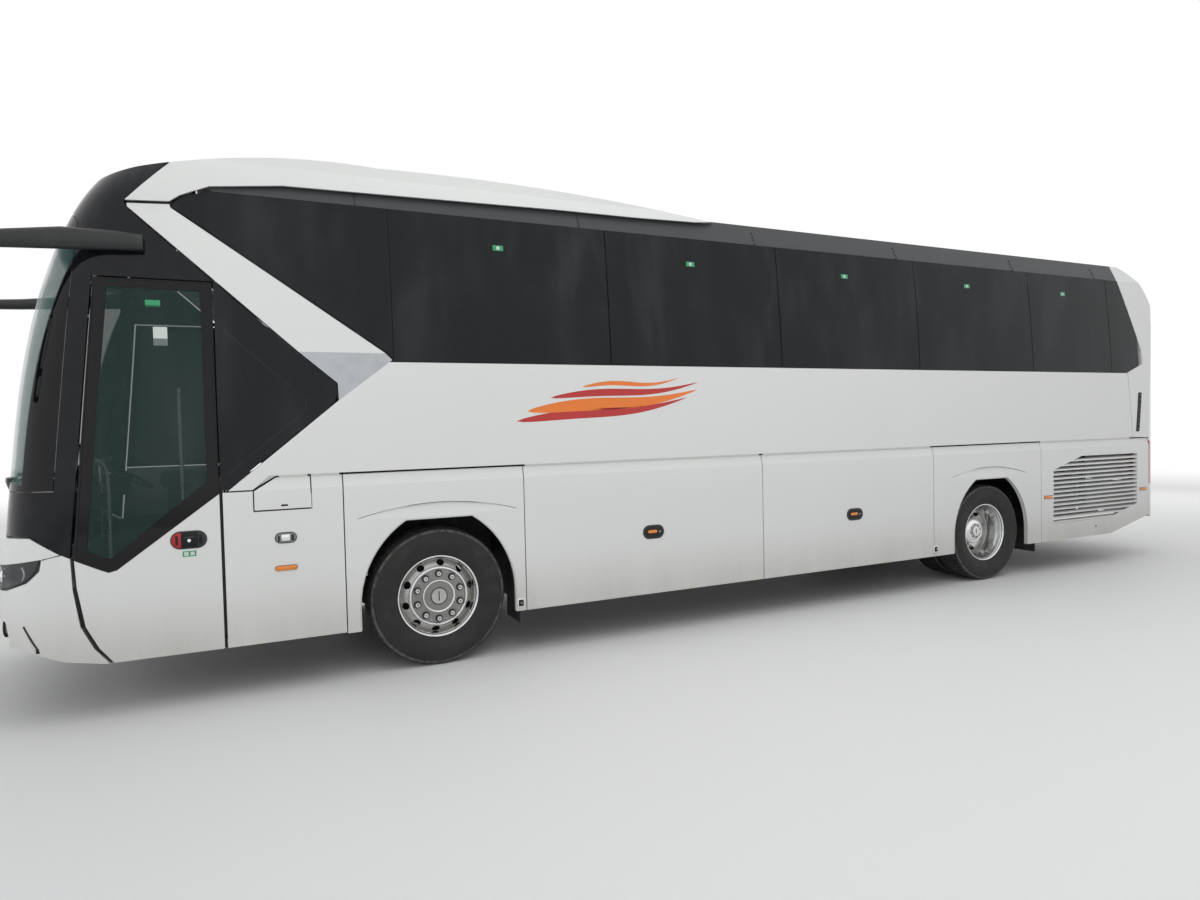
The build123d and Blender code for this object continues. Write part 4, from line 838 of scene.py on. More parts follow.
class COACH_OT_tyres(bpy.types.Operator):
    """Add the tyres with their grooved treads"""

    bl_idname = "coach.tyres"
    bl_label = "Tyres"

    def execute(self, context):
        sizes = context.scene.coach_sizes
        for name, side in SIDES:
            self.tyres(sizes, f"tyre_front_{name}", f"wheel_front_{name}", FRONT_AXLE, [side * WHEEL_X])
            self.tyres(sizes, f"tyres_rear_{name}", f"wheels_rear_{name}", REAR_AXLE,
                       [side * WHEEL_X, side * TWIN_X])
        return {"FINISHED"}

    def tyres(self, sizes, node, body, axle, middles):
        foot = TREAD_RADIUS - sizes.tread_depth
        grooves = [(0.0855, 0.5200), (0.0840, foot), (0.0745, foot), (0.0730, 0.5206), (0.0335, 0.5216),
                   (0.0320, foot), (0.0240, foot), (0.0225, 0.5219)]
        half = list(TYRE_WALL) + grooves
        profile = half + [(-along, radius) for along, radius in reversed(half)]
        steps = sizes.tread_pitches * 3
        shape = Shape().use("tyre_rubber")
        for middle in middles:
            centre = Vector((middle, axle, AXLE_HEIGHT))
            made = shape.turned(profile + profile[:1], centre, steps)
            slotted = [face for face in faces_at(made) if self.slotted(face, centre, steps)]
            bmesh.ops.inset_individual(shape.bm, faces=slotted, thickness=0.0022, depth=-0.007)
        shape.done(f"{node}_tread", body, [node], "tyre_rubber", sharp=38)

    def slotted(self, face, centre, steps):
        """True for every third face round the tread's two shoulders and its ribs."""
        spot = face.calc_center_median() - centre
        radius = Vector((spot.y, spot.z)).length
        turn = atan2(spot.z, spot.y) % (2 * pi) / (2 * pi) * steps
        place = int(turn + 0.01)
        if radius < TREAD_EDGE:
            return False
        if abs(spot.x) > 0.09:
            return place % 3 == 0
        return 0.035 < abs(spot.x) < 0.072 and place % 3 == 1


# Sections of the rims as pairs of the distance out from the wheel's middle and the radius
FLANGE_OUT = [(0.1045, 0.2890), (0.1055, 0.2965), (0.1100, 0.3010), (0.1118, 0.3075), (0.1140, 0.3098),
              (0.1168, 0.3092), (0.1178, 0.3060), (0.1165, 0.3015), (0.1125, 0.2985)]
BARREL_SKIN = [(0.1125, 0.2985), (0.1085, 0.2960), (0.1062, 0.2918), (0.1060, 0.2890), (0.1030, 0.2855),
               (0.0975, 0.2835)]
DISC_FACE = [(0.0640, 0.2790), (0.0675, 0.2745), (0.0760, 0.2640), (0.0870, 0.2500), (0.0985, 0.2360),
             (0.1060, 0.2275), (0.1095, 0.2245)]
STEP_RING = [(0.1095, 0.2245), (0.1135, 0.2225), (0.1165, 0.2190), (0.1177, 0.2150), (0.1170, 0.2105),
             (0.1140, 0.2070), (0.1085, 0.2050)]
NUT_LAND = [(0.1085, 0.2050), (0.1060, 0.2035), (0.1060, 0.1250)]
CAP_RING = [(0.1060, 0.1250), (0.1150, 0.1245), (0.1195, 0.1228), (0.1212, 0.1190), (0.1205, 0.1150),
            (0.1175, 0.1120)]
CAP_LAND = [(0.1175, 0.1120), (0.1160, 0.1100), (0.1160, 0.0590)]
CAP_PLATE = [(0.1160, 0.0590), (0.1190, 0.0575), (0.1200, 0.0545), (0.1190, 0.0515), (0.1180, 0.0500),
             (0.1180, 0.0)]
FRONT_BACK = [(0.1180, 0.0), (0.1080, 0.0), (0.0960, 0.1200), (0.0960, 0.2050), (0.0990, 0.2150),
              (0.0880, 0.2340), (0.0640, 0.2650), (0.0560, 0.2780), (0.0640, 0.2790)]
REAR_BOWL = [(-0.0700, 0.2745), (-0.0800, 0.2690), (-0.1000, 0.2620), (-0.1200, 0.2520), (-0.1380, 0.2380),
             (-0.1490, 0.2200), (-0.1530, 0.2050), (-0.1530, 0.1950)]
REAR_LAND = [(-0.1530, 0.1950), (-0.1530, 0.1420)]
REAR_DOME = [(-0.1530, 0.1420), (-0.0600, 0.1400), (-0.0330, 0.1385), (-0.0180, 0.1330), (-0.0080, 0.1230),
             (-0.0020, 0.1060), (0.0, 0.0860)]
REAR_CROWN = [(0.0, 0.0860), (0.0005, 0.0560)]
REAR_CAP = [(0.0005, 0.0560), (0.0120, 0.0540), (0.0160, 0.0500), (0.0165, 0.0440), (0.0130, 0.0410),
            (0.0130, 0.0)]
REAR_BACK = [(0.0130, 0.0), (0.0040, 0.0), (-0.0120, 0.1000), (-0.0500, 0.1200), (-0.1650, 0.1250),
             (-0.1650, 0.2050), (-0.1560, 0.2350), (-0.1300, 0.2600), (-0.0900, 0.2760), (-0.0700, 0.2745)]
OUTER_WELL = [(-0.0975, 0.2750), (0.0560, 0.2720), (0.0975, 0.2835)]
INNER_WELL = [(-0.0975, 0.2835), (-0.080, 0.2720), (0.080, 0.2720), (0.0975, 0.2835)]
FRONT_BANDS = (("rim_alloy", DISC_FACE), ("rim_bright", STEP_RING), ("rim_face", NUT_LAND),
               ("rim_bright", CAP_RING), ("rim_face", CAP_LAND), ("rim_alloy", CAP_PLATE),
               ("rim_face", FRONT_BACK))
REAR_BANDS = (("rim_alloy", REAR_BOWL), ("rim_face", REAR_LAND), ("rim_bright", REAR_DOME),
              ("rim_alloy", REAR_CROWN), ("rim_bright", REAR_CAP), ("rim_face", REAR_BACK))
HAND_HOLES = 10

# Brakes: where the disc and its guard start and end out from the wheel's middle, and the guard's inner radius
FRONT_BRAKE = ((-0.032, 0.006), (-0.0440, -0.0405), 0.119)
REAR_BRAKE = ((-0.060, -0.015), (-0.0900, -0.0860), 0.100)


class COACH_OT_rims(bpy.types.Operator):
    """Add the rims with their flanges, hand holes and hubs"""

    bl_idname = "coach.rims"
    bl_label = "Rims"

    def execute(self, context):
        for name, side in SIDES:
            self.front(name, side)
            self.rear(name, side)
            self.brakes(name, side)
        return {"FINISHED"}

    def barrel(self, shape, x, axle, side, face, well=OUTER_WELL):
        """A barrel round its well, with the same flange at both edges."""
        back = [(-out, radius) for out, radius in reversed(FLANGE_OUT)]
        shape.banded([
            ("rim_alloy", [well[0]] + back + [(-0.1000, 0.2865), (0.1000, 0.2865), (0.1045, 0.2890)]),
            ("rim_bright", FLANGE_OUT + BARREL_SKIN[1:]),
            (face, [BARREL_SKIN[-1]] + well[-2::-1])], (side * x, axle, AXLE_HEIGHT), side)

    def holes(self, axle, side, reach, radius, sizes, first):
        """Oval bars that the hand holes are cut with, their reach being how far out they start and end."""
        shape = Shape()
        centre = Vector((0, axle, AXLE_HEIGHT))
        low, high = (WHEEL_X + out for out in reach)
        for i in range(HAND_HOLES):
            middle = (side * (low + high) / 2, axle + radius, AXLE_HEIGHT)
            made = shape.drum(middle, 1, high - low, (1, 0, 0), 24)
            for vert in made:
                vert.co.y = axle + radius + (vert.co.y - axle - radius) * sizes[0]
                vert.co.z = AXLE_HEIGHT + (vert.co.z - AXLE_HEIGHT) * sizes[1]
            turn = Matrix.Rotation(first + i * 2 * pi / HAND_HOLES, 3, "X")
            bmesh.ops.rotate(shape.bm, cent=centre, matrix=turn, verts=made)
        return shape

    def disc(self, end, name, body, axle, side, bands, holes):
        """A wheel's disc with its hand holes."""
        shape = Shape()
        shape.banded(bands, (side * WHEEL_X, axle, AXLE_HEIGHT), side)
        shape.cut(self.holes(axle, side, *holes))
        shape.done(f"wheel_disc_{end}_{name}", body, [f"rim_{end}_{name}"], "rim_alloy", sharp=31)

    def front(self, name, side):
        body = f"wheel_front_{name}"
        self.disc("front", name, body, FRONT_AXLE, side, FRONT_BANDS,
                  ((0.03, 0.125), 0.2515, (0.0225, 0.0295), 0.22))
        shape = Shape()
        self.barrel(shape, WHEEL_X, FRONT_AXLE, side, "rim_alloy")
        shape.done(f"wheel_barrel_front_{name}", body, [f"rim_front_{name}"], "rim_alloy", sharp=44)

    def rear(self, name, side):
        body = f"wheels_rear_{name}"
        self.disc("rear", name, body, REAR_AXLE, side, REAR_BANDS,
                  ((-0.19, -0.085), 0.2330, (0.0215, 0.0290), 0.12))
        shape = Shape()
        self.barrel(shape, WHEEL_X, REAR_AXLE, side, "rim_bright")
        self.barrel(shape, TWIN_X, REAR_AXLE, side, "rim_alloy", INNER_WELL)
        shape.done(f"wheel_barrels_rear_{name}", body, [f"rim_rear_{name}"], "rim_alloy", sharp=44)

    def brakes(self, name, side):
        """Brake discs that turn with the wheels, and the guards behind them."""
        for body, node, x, axle, brake in (
                (f"wheel_front_{name}", f"steering_{name}", WHEEL_X, FRONT_AXLE, FRONT_BRAKE),
                (f"wheels_rear_{name}", "coach", TWIN_X, REAR_AXLE, REAR_BRAKE)):
            middle = (side * x, axle, AXLE_HEIGHT)
            (back, face), (low, high), inner = brake
            disc = [(face, 0.104), (face, 0.214), (back, 0.214), (back, 0.104), (face, 0.104)]
            shape = Shape()
            shape.banded([("cast_grey", disc)], middle, side, 48)
            shape.done(f"brake_{body}", body, slot="cast_grey", sharp=40)
            guard = [(high, inner), (high, 0.255), (high + 0.010, 0.262), (high + 0.010, 0.265), (low, 0.258),
                     (low, inner), (high, inner)]
            shape = Shape()
            shape.banded([("chassis_black", guard)], middle, side, 48)
            shape.done(f"brake_guard_{body}", node, slot="chassis_black", sharp=40)


class COACH_OT_arch_liners(bpy.types.Operator):
    """Add the dark walls inside the wheel arches"""

    bl_idname = "coach.arch_liners"
    bl_label = "Arch liners"

    def execute(self, context):
        shape = Shape().use("chassis_black")
        for start, end, foot in ((-3.566, -2.275, 0.700), (REAR_AXLE - 0.64, REAR_AXLE + 0.64, 0.760)):
            shape.prism([(0.4700, foot), (0.4740, foot), (0.4740, 1.2380), (0.4700, 1.2380)], start, end, "Y")
            for i in range(5):
                y = start + (end - start) * (i + 0.5) / 5
                shape.box((0.472, y - 0.012, foot + 0.03), (0.486, y + 0.012, 1.20), 0.004)
        shape.mirrored()
        shape.done("arch_liners", "coach", slot="chassis_black", sharp=40)
        return {"FINISHED"}


# A nut's crown as pairs of the distance out in metres and the radius over the nut's width
NUT_CROWN = ((0.010, 0.48), (0.0215, 0.47), (0.0250, 0.42), (0.0255, 0.35), (0.0235, 0.27), (0.0200, 0.23),
             (0.0200, 0))


class COACH_OT_wheel_nuts(bpy.types.Operator):
    """Add the wheel nuts, studs and hub caps"""

    bl_idname = "coach.wheel_nuts"
    bl_label = "Wheel nuts"

    def execute(self, context):
        sizes = context.scene.coach_sizes
        for name, side in SIDES:
            made = self.front(sizes, side)
            made.done(f"wheel_nuts_front_{name}", f"wheel_front_{name}", slot="rim_alloy", sharp=32)
            made = self.rear(sizes, side)
            made.done(f"wheel_nuts_rear_{name}", f"wheels_rear_{name}", slot="rim_alloy", sharp=32)
        return {"FINISHED"}

    def ring(self, axle, radius, count, first=0.0):
        turns = [first + i * 2 * pi / count for i in range(count)]
        return [(axle + radius * cos(turn), AXLE_HEIGHT + radius * sin(turn)) for turn in turns]

    def nut(self, shape, sizes, side, x, y, z):
        out = (side, 0, 0)
        wide = sizes.nut_width
        # A thin black disc under each nut, in the flap rubber's colour: painted shade where the nut sits on
        # the rim
        shape.use("flap_rubber").drum((x + side * 0.0006, y, z), wide * 0.80, 0.0014, out, 24)
        shape.use("nut_steel").drum((x + side * 0.007, y, z), wide * 0.58, 0.014, out, 6, wide * 0.565,
                                    bevel=0.0012)
        crown = [(side * along, wide * radius) for along, radius in NUT_CROWN]
        shape.use("rim_bright").turned(crown, (x, y, z), 20)
        shape.use("nut_steel").drum((x + side * 0.0202, y, z), wide * 0.20, 0.002, out, 16)

    def front(self, sizes, side):
        shape = Shape()
        face = WHEEL_X + FRONT_NUT_FACE
        for y, z in self.ring(FRONT_AXLE, sizes.nut_circle, 10, 0.30):
            self.nut(shape, sizes, side, side * face, y, z)
        shape.use("rim_bright")
        for y, z in self.ring(FRONT_AXLE, 0.188, 10, 0.30 + pi / 10):
            shape.drum((side * (face + 0.001), y, z), 0.0042, 0.004, (side, 0, 0), 10, 0.003)
        cap = WHEEL_X + FRONT_CAP_FACE
        low = (side * (cap + 0.0005), FRONT_AXLE - 0.0035, AXLE_HEIGHT - 0.036)
        high = (side * (cap + 0.0028), FRONT_AXLE + 0.0035, AXLE_HEIGHT + 0.036)
        shape.use("seal_rubber").box(low, high, 0.0006)
        shape.use("seal_rubber").turned([(side * (cap - 0.004), 0.0665), (side * (cap - 0.0014), 0.0660),
                                         (side * (cap - 0.0014), 0.0600), (side * (cap - 0.004), 0.0595)],
                                        (0, FRONT_AXLE, AXLE_HEIGHT), 48)
        return shape

    def rear(self, sizes, side):
        shape = Shape()
        face = WHEEL_X - REAR_NUT_DEPTH
        for y, z in self.ring(REAR_AXLE, sizes.nut_circle, 10, 0.1):
            self.nut(shape, sizes, side, side * face, y, z)
        for y, z in self.ring(REAR_AXLE, 0.071, 8, 0.2):
            shape.use("nut_steel").drum((side * (WHEEL_X + 0.004), y, z), 0.0080, 0.008, (side, 0, 0), 6,
                                        bevel=0.001)
        low = (side * (WHEEL_X + 0.0125), REAR_AXLE - 0.003, AXLE_HEIGHT - 0.028)
        high = (side * (WHEEL_X + 0.0145), REAR_AXLE + 0.003, AXLE_HEIGHT + 0.028)
        shape.use("seal_rubber").box(low, high, 0.0005)
        return shape


# Side fittings


def on_side(node, y, z, side=1):
    """The point of a node's outer face at a station and height."""
    return (Skin(node).side(y, z, side), y, z)


def shifted(place, side, out, y=0.0, z=0.0):
    return (place[0] + side * out, place[1] + y, place[2] + z)


class COACH_OT_flap_fittings(bpy.types.Operator):
    """Add the flaps' handles, marker lamps and reflectors"""

    bl_idname = "coach.flap_fittings"
    bl_label = "Flap fittings"

    def execute(self, context):
        for name, side in SIDES:
            for flap, y, z in (("luggage_flap_front", -1.086, 0.876), ("luggage_flap_rear", 1.174, 0.867)):
                self.recessed_lock(f"{flap}_{name}", y, z, side)
            self.service(name, side)
            self.grille(name, side)
            self.jack_points(name, side)
        self.fuel_catch()
        return {"FINISHED"}

    def recessed_lock(self, flap, y, z, side):
        place = on_side(flap, y, z, side)
        shape = Shape().use("bumper_black")
        shape.pill(shifted(place, side, -0.002), 0.205, 0.118, 0.007, side, 0.0025)
        shape.use("seal_rubber").pill(shifted(place, side, 0.004), 0.172, 0.086, 0.0015, side)
        shape.use("marker_amber").pill(shifted(place, side, 0.005, -0.012, 0.004), 0.088, 0.026, 0.004, side,
                                       0.001)
        shape.use("nut_steel").drum(shifted(place, side, 0.006, 0.058), 0.011, 0.004, (side, 0, 0), 16,
                                    bevel=0.001)
        shape.done(f"{flap}_lock", flap, slot="bumper_black", sharp=40)

    def marker(self, shape, place, side, length=0.135):
        shape.use("bumper_black").slab(place, side, (-0.001, 0.003),
                                       (-length / 2 - 0.004, length / 2 + 0.004), (-0.019, 0.019), 0.0012)
        shape.use("marker_amber").slab(place, side, (0.001, 0.009), (-length / 2, length / 2),
                                       (-0.015, 0.015), 0.003)

    def service(self, name, side):
        flap = f"service_flap_{name}"
        place = on_side(flap, -3.984, 1.068, side)
        shape = Shape()
        shape.use("bumper_black").pill(shifted(place, side, -0.002), 0.142, 0.076, 0.006, side, 0.002)
        shape.use("nut_steel").pill(shifted(place, side, 0.002), 0.130, 0.064, 0.005, side, 0.002)
        shape.use("polished").slab(place, side, (0.004, 0.013), (-0.030, 0.026), (-0.020, 0.024), 0.005)
        shape.use("seal_rubber").slab(place, side, (0.004, 0.008), (0.034, 0.052), (-0.022, 0.022), 0.003)
        shape.use("seal_rubber").slab(place, side, (0.004, 0.008), (-0.052, -0.038), (-0.024, 0.018), 0.003)
        place = on_side(flap, -3.987, 0.860, side)
        shape.use("seal_rubber").pill(shifted(place, side, -0.002), 0.146, 0.036, 0.004, side, 0.001)
        shape.use("marker_amber").pill(shifted(place, side, 0.001), 0.140, 0.030, 0.011, side, 0.004)
        shape.done(f"{flap}_handle", flap, slot="silver_trim", sharp=40)

    def grille(self, name, side):
        flap = f"grille_flap_{name}"
        shape = Shape()
        self.marker(shape, on_side(flap, 4.089, 0.856, side), side)
        self.marker(shape, on_side(flap, 5.902, 0.853, side), side)
        place = on_side(flap, 4.962, 0.459, side)
        shape.use("seal_rubber").drum(shifted(place, side, 0.0), 0.013, 0.003, (side, 0, 0), 20, bevel=0.0008)
        shape.use("nut_steel").drum(shifted(place, side, 0.001), 0.007, 0.003, (side, 0, 0), 12)
        shape.done(f"{flap}_markers", flap, slot="bumper_black", sharp=40)

    def jack_points(self, name, side):
        shape = Shape()
        for y, z in ((-2.290, 0.412), (2.283, 0.424)):
            place = on_side("wheel_arch_panels", y, z, side)
            shape.use("polished").slab(place, side, (-0.001, 0.003), (-0.029, 0.029), (-0.034, 0.034), 0.002)
            shape.use("seal_rubber").slab(place, side, (0.001, 0.004), (-0.021, 0.021), (-0.026, 0.026),
                                          0.001)
            shape.use("nut_steel").drum(shifted(place, side, 0.004, 0.003), 0.009, 0.006, (side, 0, 0), 16)
        shape.done(f"jack_points_{name}", "coach", slot="flap_rubber", sharp=40)

    def fuel_catch(self):
        place = on_side("fuel_flap", -3.985, 1.292)
        shape = Shape()
        shape.use("seal_rubber").pill(shifted(place, 1, -0.001), 0.046, 0.013, 0.0022, 1, 0.0006)
        shape.done("fuel_flap_catch", "fuel_flap", slot="flap_rubber", sharp=40)


class COACH_OT_arch_lips(bpy.types.Operator):
    """Add the rolled lips of the wheel arches"""

    bl_idname = "coach.arch_lips"
    bl_label = "Arch lips"

    def execute(self, context):
        # The lips are painted in the body's white made darker: painted shade of the rolled edge
        shape = Shape().use("arch_lip")
        skin = Skin("wheel_arch_panels")
        for axle, top in ((FRONT_AXLE, 1.131), (REAR_AXLE, 1.120)):
            half, flat, spring = 0.588, 0.250, 0.520
            rise = top - spring
            radius = ((half - flat) ** 2 + rise ** 2) / (2 * (half - flat))
            centre = half - radius
            turns = [i / 10 * asin(rise / radius) for i in range(11)]
            line, beside = [], []
            for edge, way in ((0.001, line), (0.020, beside)):
                out = radius + edge
                arc = [(centre + out * cos(turn), spring + out * sin(turn)) for turn in turns]
                half_line = [(half + edge, 0.356), (half + edge, 0.44)] + arc
                way += [(-y, z) for y, z in half_line] + [(y, z) for y, z in reversed(half_line)]
            points = [(skin.side(axle + far[0], far[1]) - 0.0045, axle + near[0], near[1])
                      for near, far in zip(line, beside)]
            shape.tube(points, 0.0075, smooth=False)
        shape.mirrored()
        shape.done("arch_lips", "coach", slot="white_paint", sharp=50)
        # Dark lines along the arch creases: painted shadows
        self.crease_shadows(skin)
        self.wall_foot()
        return {"FINISHED"}

    def crease_shadows(self, skin):
        """Dark tubes along the creases over the arches, in the seal rubber's black: painted shadows under the
        creases' overhangs.
        """
        shape = Shape().use("seal_rubber")
        for start, foot, end in (((-3.500, 1.160), 1.246, (-2.312, 1.160)),
                                 ((2.550, 1.159), 1.245, (3.696, 1.159))):
            points = []
            for i in range(25):
                along = i / 24
                y = start[0] + (end[0] - start[0]) * along
                z = start[1] + (foot - start[1]) * (1 - (2 * along - 1) ** 2) + 0.0015
                points.append((skin.side(y, z) - 0.0012, y, z))
            shape.tube(points, 0.0022)
        shape.mirrored()
        shape.done("arch_crease_shadows", "coach", slot="flap_rubber")

    def wall_foot(self):
        """The wall's return behind the fuel flap's slanted edge."""
        walls = Skin("side_walls")
        shape = Shape().use("white_paint")
        out = walls.side(-4.05, 1.53)
        foot = [(-4.184, 1.4070), (-4.036, 1.4935), (-3.990, 1.4935), (-3.990, 1.5060), (-4.078, 1.5060)]
        shape.prism(foot, out - 0.040, out - 0.036)
        shape.done("wall_foot", "coach", slot="white_paint", sharp=40)


class COACH_OT_door_fittings(bpy.types.Operator):
    """Add the passenger door's handle, handrail and labels"""

    bl_idname = "coach.door_fittings"
    bl_label = "Door fittings"

    def execute(self, context):
        self.handle()
        self.handrail()
        self.labels()
        return {"FINISHED"}

    def handle(self):
        place = on_side("passenger_door", -4.573, 1.103)
        shape = Shape()
        shape.use("bumper_black").pill(shifted(place, 1, -0.002), 0.215, 0.118, 0.006, 1, 0.0025)
        shape.use("handle_red").pill(shifted(place, 1, 0.003, -0.050), 0.100, 0.098, 0.005, 1, 0.002)
        shape.use("black_gloss").slab(place, 1, (0.002, 0.0095), (-0.046, 0.052), (-0.050, 0.050), 0.003)
        shape.use("seal_rubber").slab(place, 1, (0.007, 0.0095), (-0.078, -0.062), (-0.030, 0.030), 0.001)
        shape.use("bumper_black").slab(place, 1, (0.008, 0.013), (-0.028, 0.032), (0.010, 0.024), 0.004)
        shape.use("polished").drum(shifted(place, 1, 0.011, 0.002, -0.004), 0.011, 0.008, (1, 0, 0), 20,
                                   bevel=0.0012)
        shape.use("black_gloss").slab(place, 1, (0.003, 0.008), (0.060, 0.078), (-0.030, 0.030), 0.003)
        shape.done("door_handle", "passenger_door", slot="bumper_black", sharp=40)

    def handrail(self):
        shape = Shape().use("rail_steel")
        shape.tube([(1.196, -5.02, 0.98), (1.180, -5.02, 1.00), (1.172, -5.02, 1.05), (1.172, -5.02, 1.30),
                    (1.172, -5.02, 1.50), (1.172, -5.03, 1.60), (1.172, -5.075, 1.64), (1.180, -5.09, 1.645),
                    (1.214, -5.10, 1.645)], 0.014)
        for y, z in ((-5.02, 0.98), (-5.10, 1.645)):
            shape.drum((1.216, y, z), 0.026, 0.008, (1, 0, 0), 20, bevel=0.002)
        shape.tube([(1.176, -4.60, 1.34), (1.176, -4.60, 1.45), (1.176, -4.60, 2.0), (1.176, -4.60, 2.10)],
                   0.013)
        for z in (1.36, 2.08):
            shape.drum((1.19, -4.60, z), 0.011, 0.03, (1, 0, 0), 14)
        shape.done("door_handrail", "passenger_door", slot="rail_steel", sharp=50)

    def labels(self):
        shape = Shape()
        glass = Skin("door_glass")
        for ink, y, z, width, height in (("label_green", -4.727, 2.640, 0.085, 0.045),
                                         ("label_pale", -4.690, 2.430, 0.080, 0.12)):
            x = glass.side(y, z)
            shape.use(ink).box((x - 0.0005, y - width / 2, z - height / 2),
                               (x + 0.0007, y + width / 2, z + height / 2))
        x = Skin("passenger_door").side(-4.57, 1.012)
        shape.use("label_green").box((x - 0.0004, -4.612, 0.993), (x + 0.0006, -4.532, 1.030))
        shape.use("label_pale").box((x - 0.0003, -4.603, 0.999), (x + 0.0009, -4.577, 1.024))
        shape.box((x - 0.0003, -4.566, 0.999), (x + 0.0009, -4.541, 1.024))
        shape.done("door_labels", "passenger_door")


# The side design's strips: finish, height of the foot, rise, width, and start and end along the coach
RIBBONS = (("ribbon_red", 1.838, 0.18, 0.085, -2.29, -0.72),
           ("ribbon_orange", 1.915, 0.17, 0.112, -2.20, -0.61),
           ("ribbon_red", 2.020, 0.13, 0.066, -2.00, -0.60),
           ("ribbon_orange", 2.106, 0.08, 0.040, -1.72, -0.80))


class COACH_OT_side_design(bpy.types.Operator):
    """Add the ribbon design, the window labels and the corner slots"""

    bl_idname = "coach.side_design"
    bl_label = "Side design"

    def execute(self, context):
        for name, side in SIDES:
            wall = Skin("side_walls")
            shape = Shape()
            for ink, *strip in RIBBONS:
                self.ribbon(shape.use(ink), wall, side, *strip)
            shape.done(f"side_ribbons_{name}", "coach")
            self.window_labels(name, side)
            self.corner_slot(name, side)
        return {"FINISHED"}

    def ribbon(self, shape, wall, side, foot, rise, width, start, end):
        """A strip that swells in its middle and sweeps up towards the rear."""
        made = shape.grid(28, 2)
        for vert in made:
            along = vert.co.x + 0.5
            swell = sin(pi * along ** 0.8) ** 0.75 * (1 - 0.25 * along)
            y = start + (end - start) * along
            z = foot + rise * along ** 1.6 + sin(2 * pi * along) * 0.022 + vert.co.y * width * swell
            vert.co = (wall.side(y, z, side) + side * 0.0008, y, z)
        shape.outward(made, Vector((side, 0, 0)))

    def window_labels(self, name, side):
        shape = Shape()
        glass = Skin("side_windows")
        for y, z in ((-2.379, 3.188), (-0.619, 3.186), (1.150, 3.191), (2.869, 3.195), (4.470, 3.196)):
            x = glass.side(y, z, side)
            lean = glass.side(y, z + 0.02, side) - x
            for ink, half_y, half_z, out in (("label_green", 0.042, 0.021, 0.0008),
                                             ("label_pale", 0.013, 0.013, 0.0014)):
                made = shape.use(ink).box((x - 0.0006, y - half_y, z - half_z),
                                          (x + 0.0006, y + half_y, z + half_z))
                for vert in made:
                    vert.co.x += side * out + lean * (vert.co.z - z) / 0.02
        shape.done(f"window_labels_{name}", "coach")

    def corner_slot(self, name, side):
        shell = Skin("rear_shell")
        shape = Shape().use("seal_rubber")
        made = shape.grid(2, 10)
        for vert in made:
            up = vert.co.y + 0.5
            z = 1.568 + 0.481 * up
            y = 5.790 + vert.co.x * 0.072 + up * 0.058
            vert.co = (shell.side(y, z, side) + side * 0.0012, y, z)
        shape.outward(made, Vector((side, 0, 0)))
        shape.use("bumper_black")
        for i in range(8):
            z = 1.60 + 0.06 * i
            y = 5.790 + (z - 1.568) / 0.481 * 0.058
            x = shell.side(y, z, side)
            shape.box((x - 0.001, y - 0.032, z - 0.008), (x + 0.003, y + 0.032, z + 0.008), 0.001)
        shape.done(f"corner_slot_{name}", "coach", slot="flap_rubber")


# Lamps


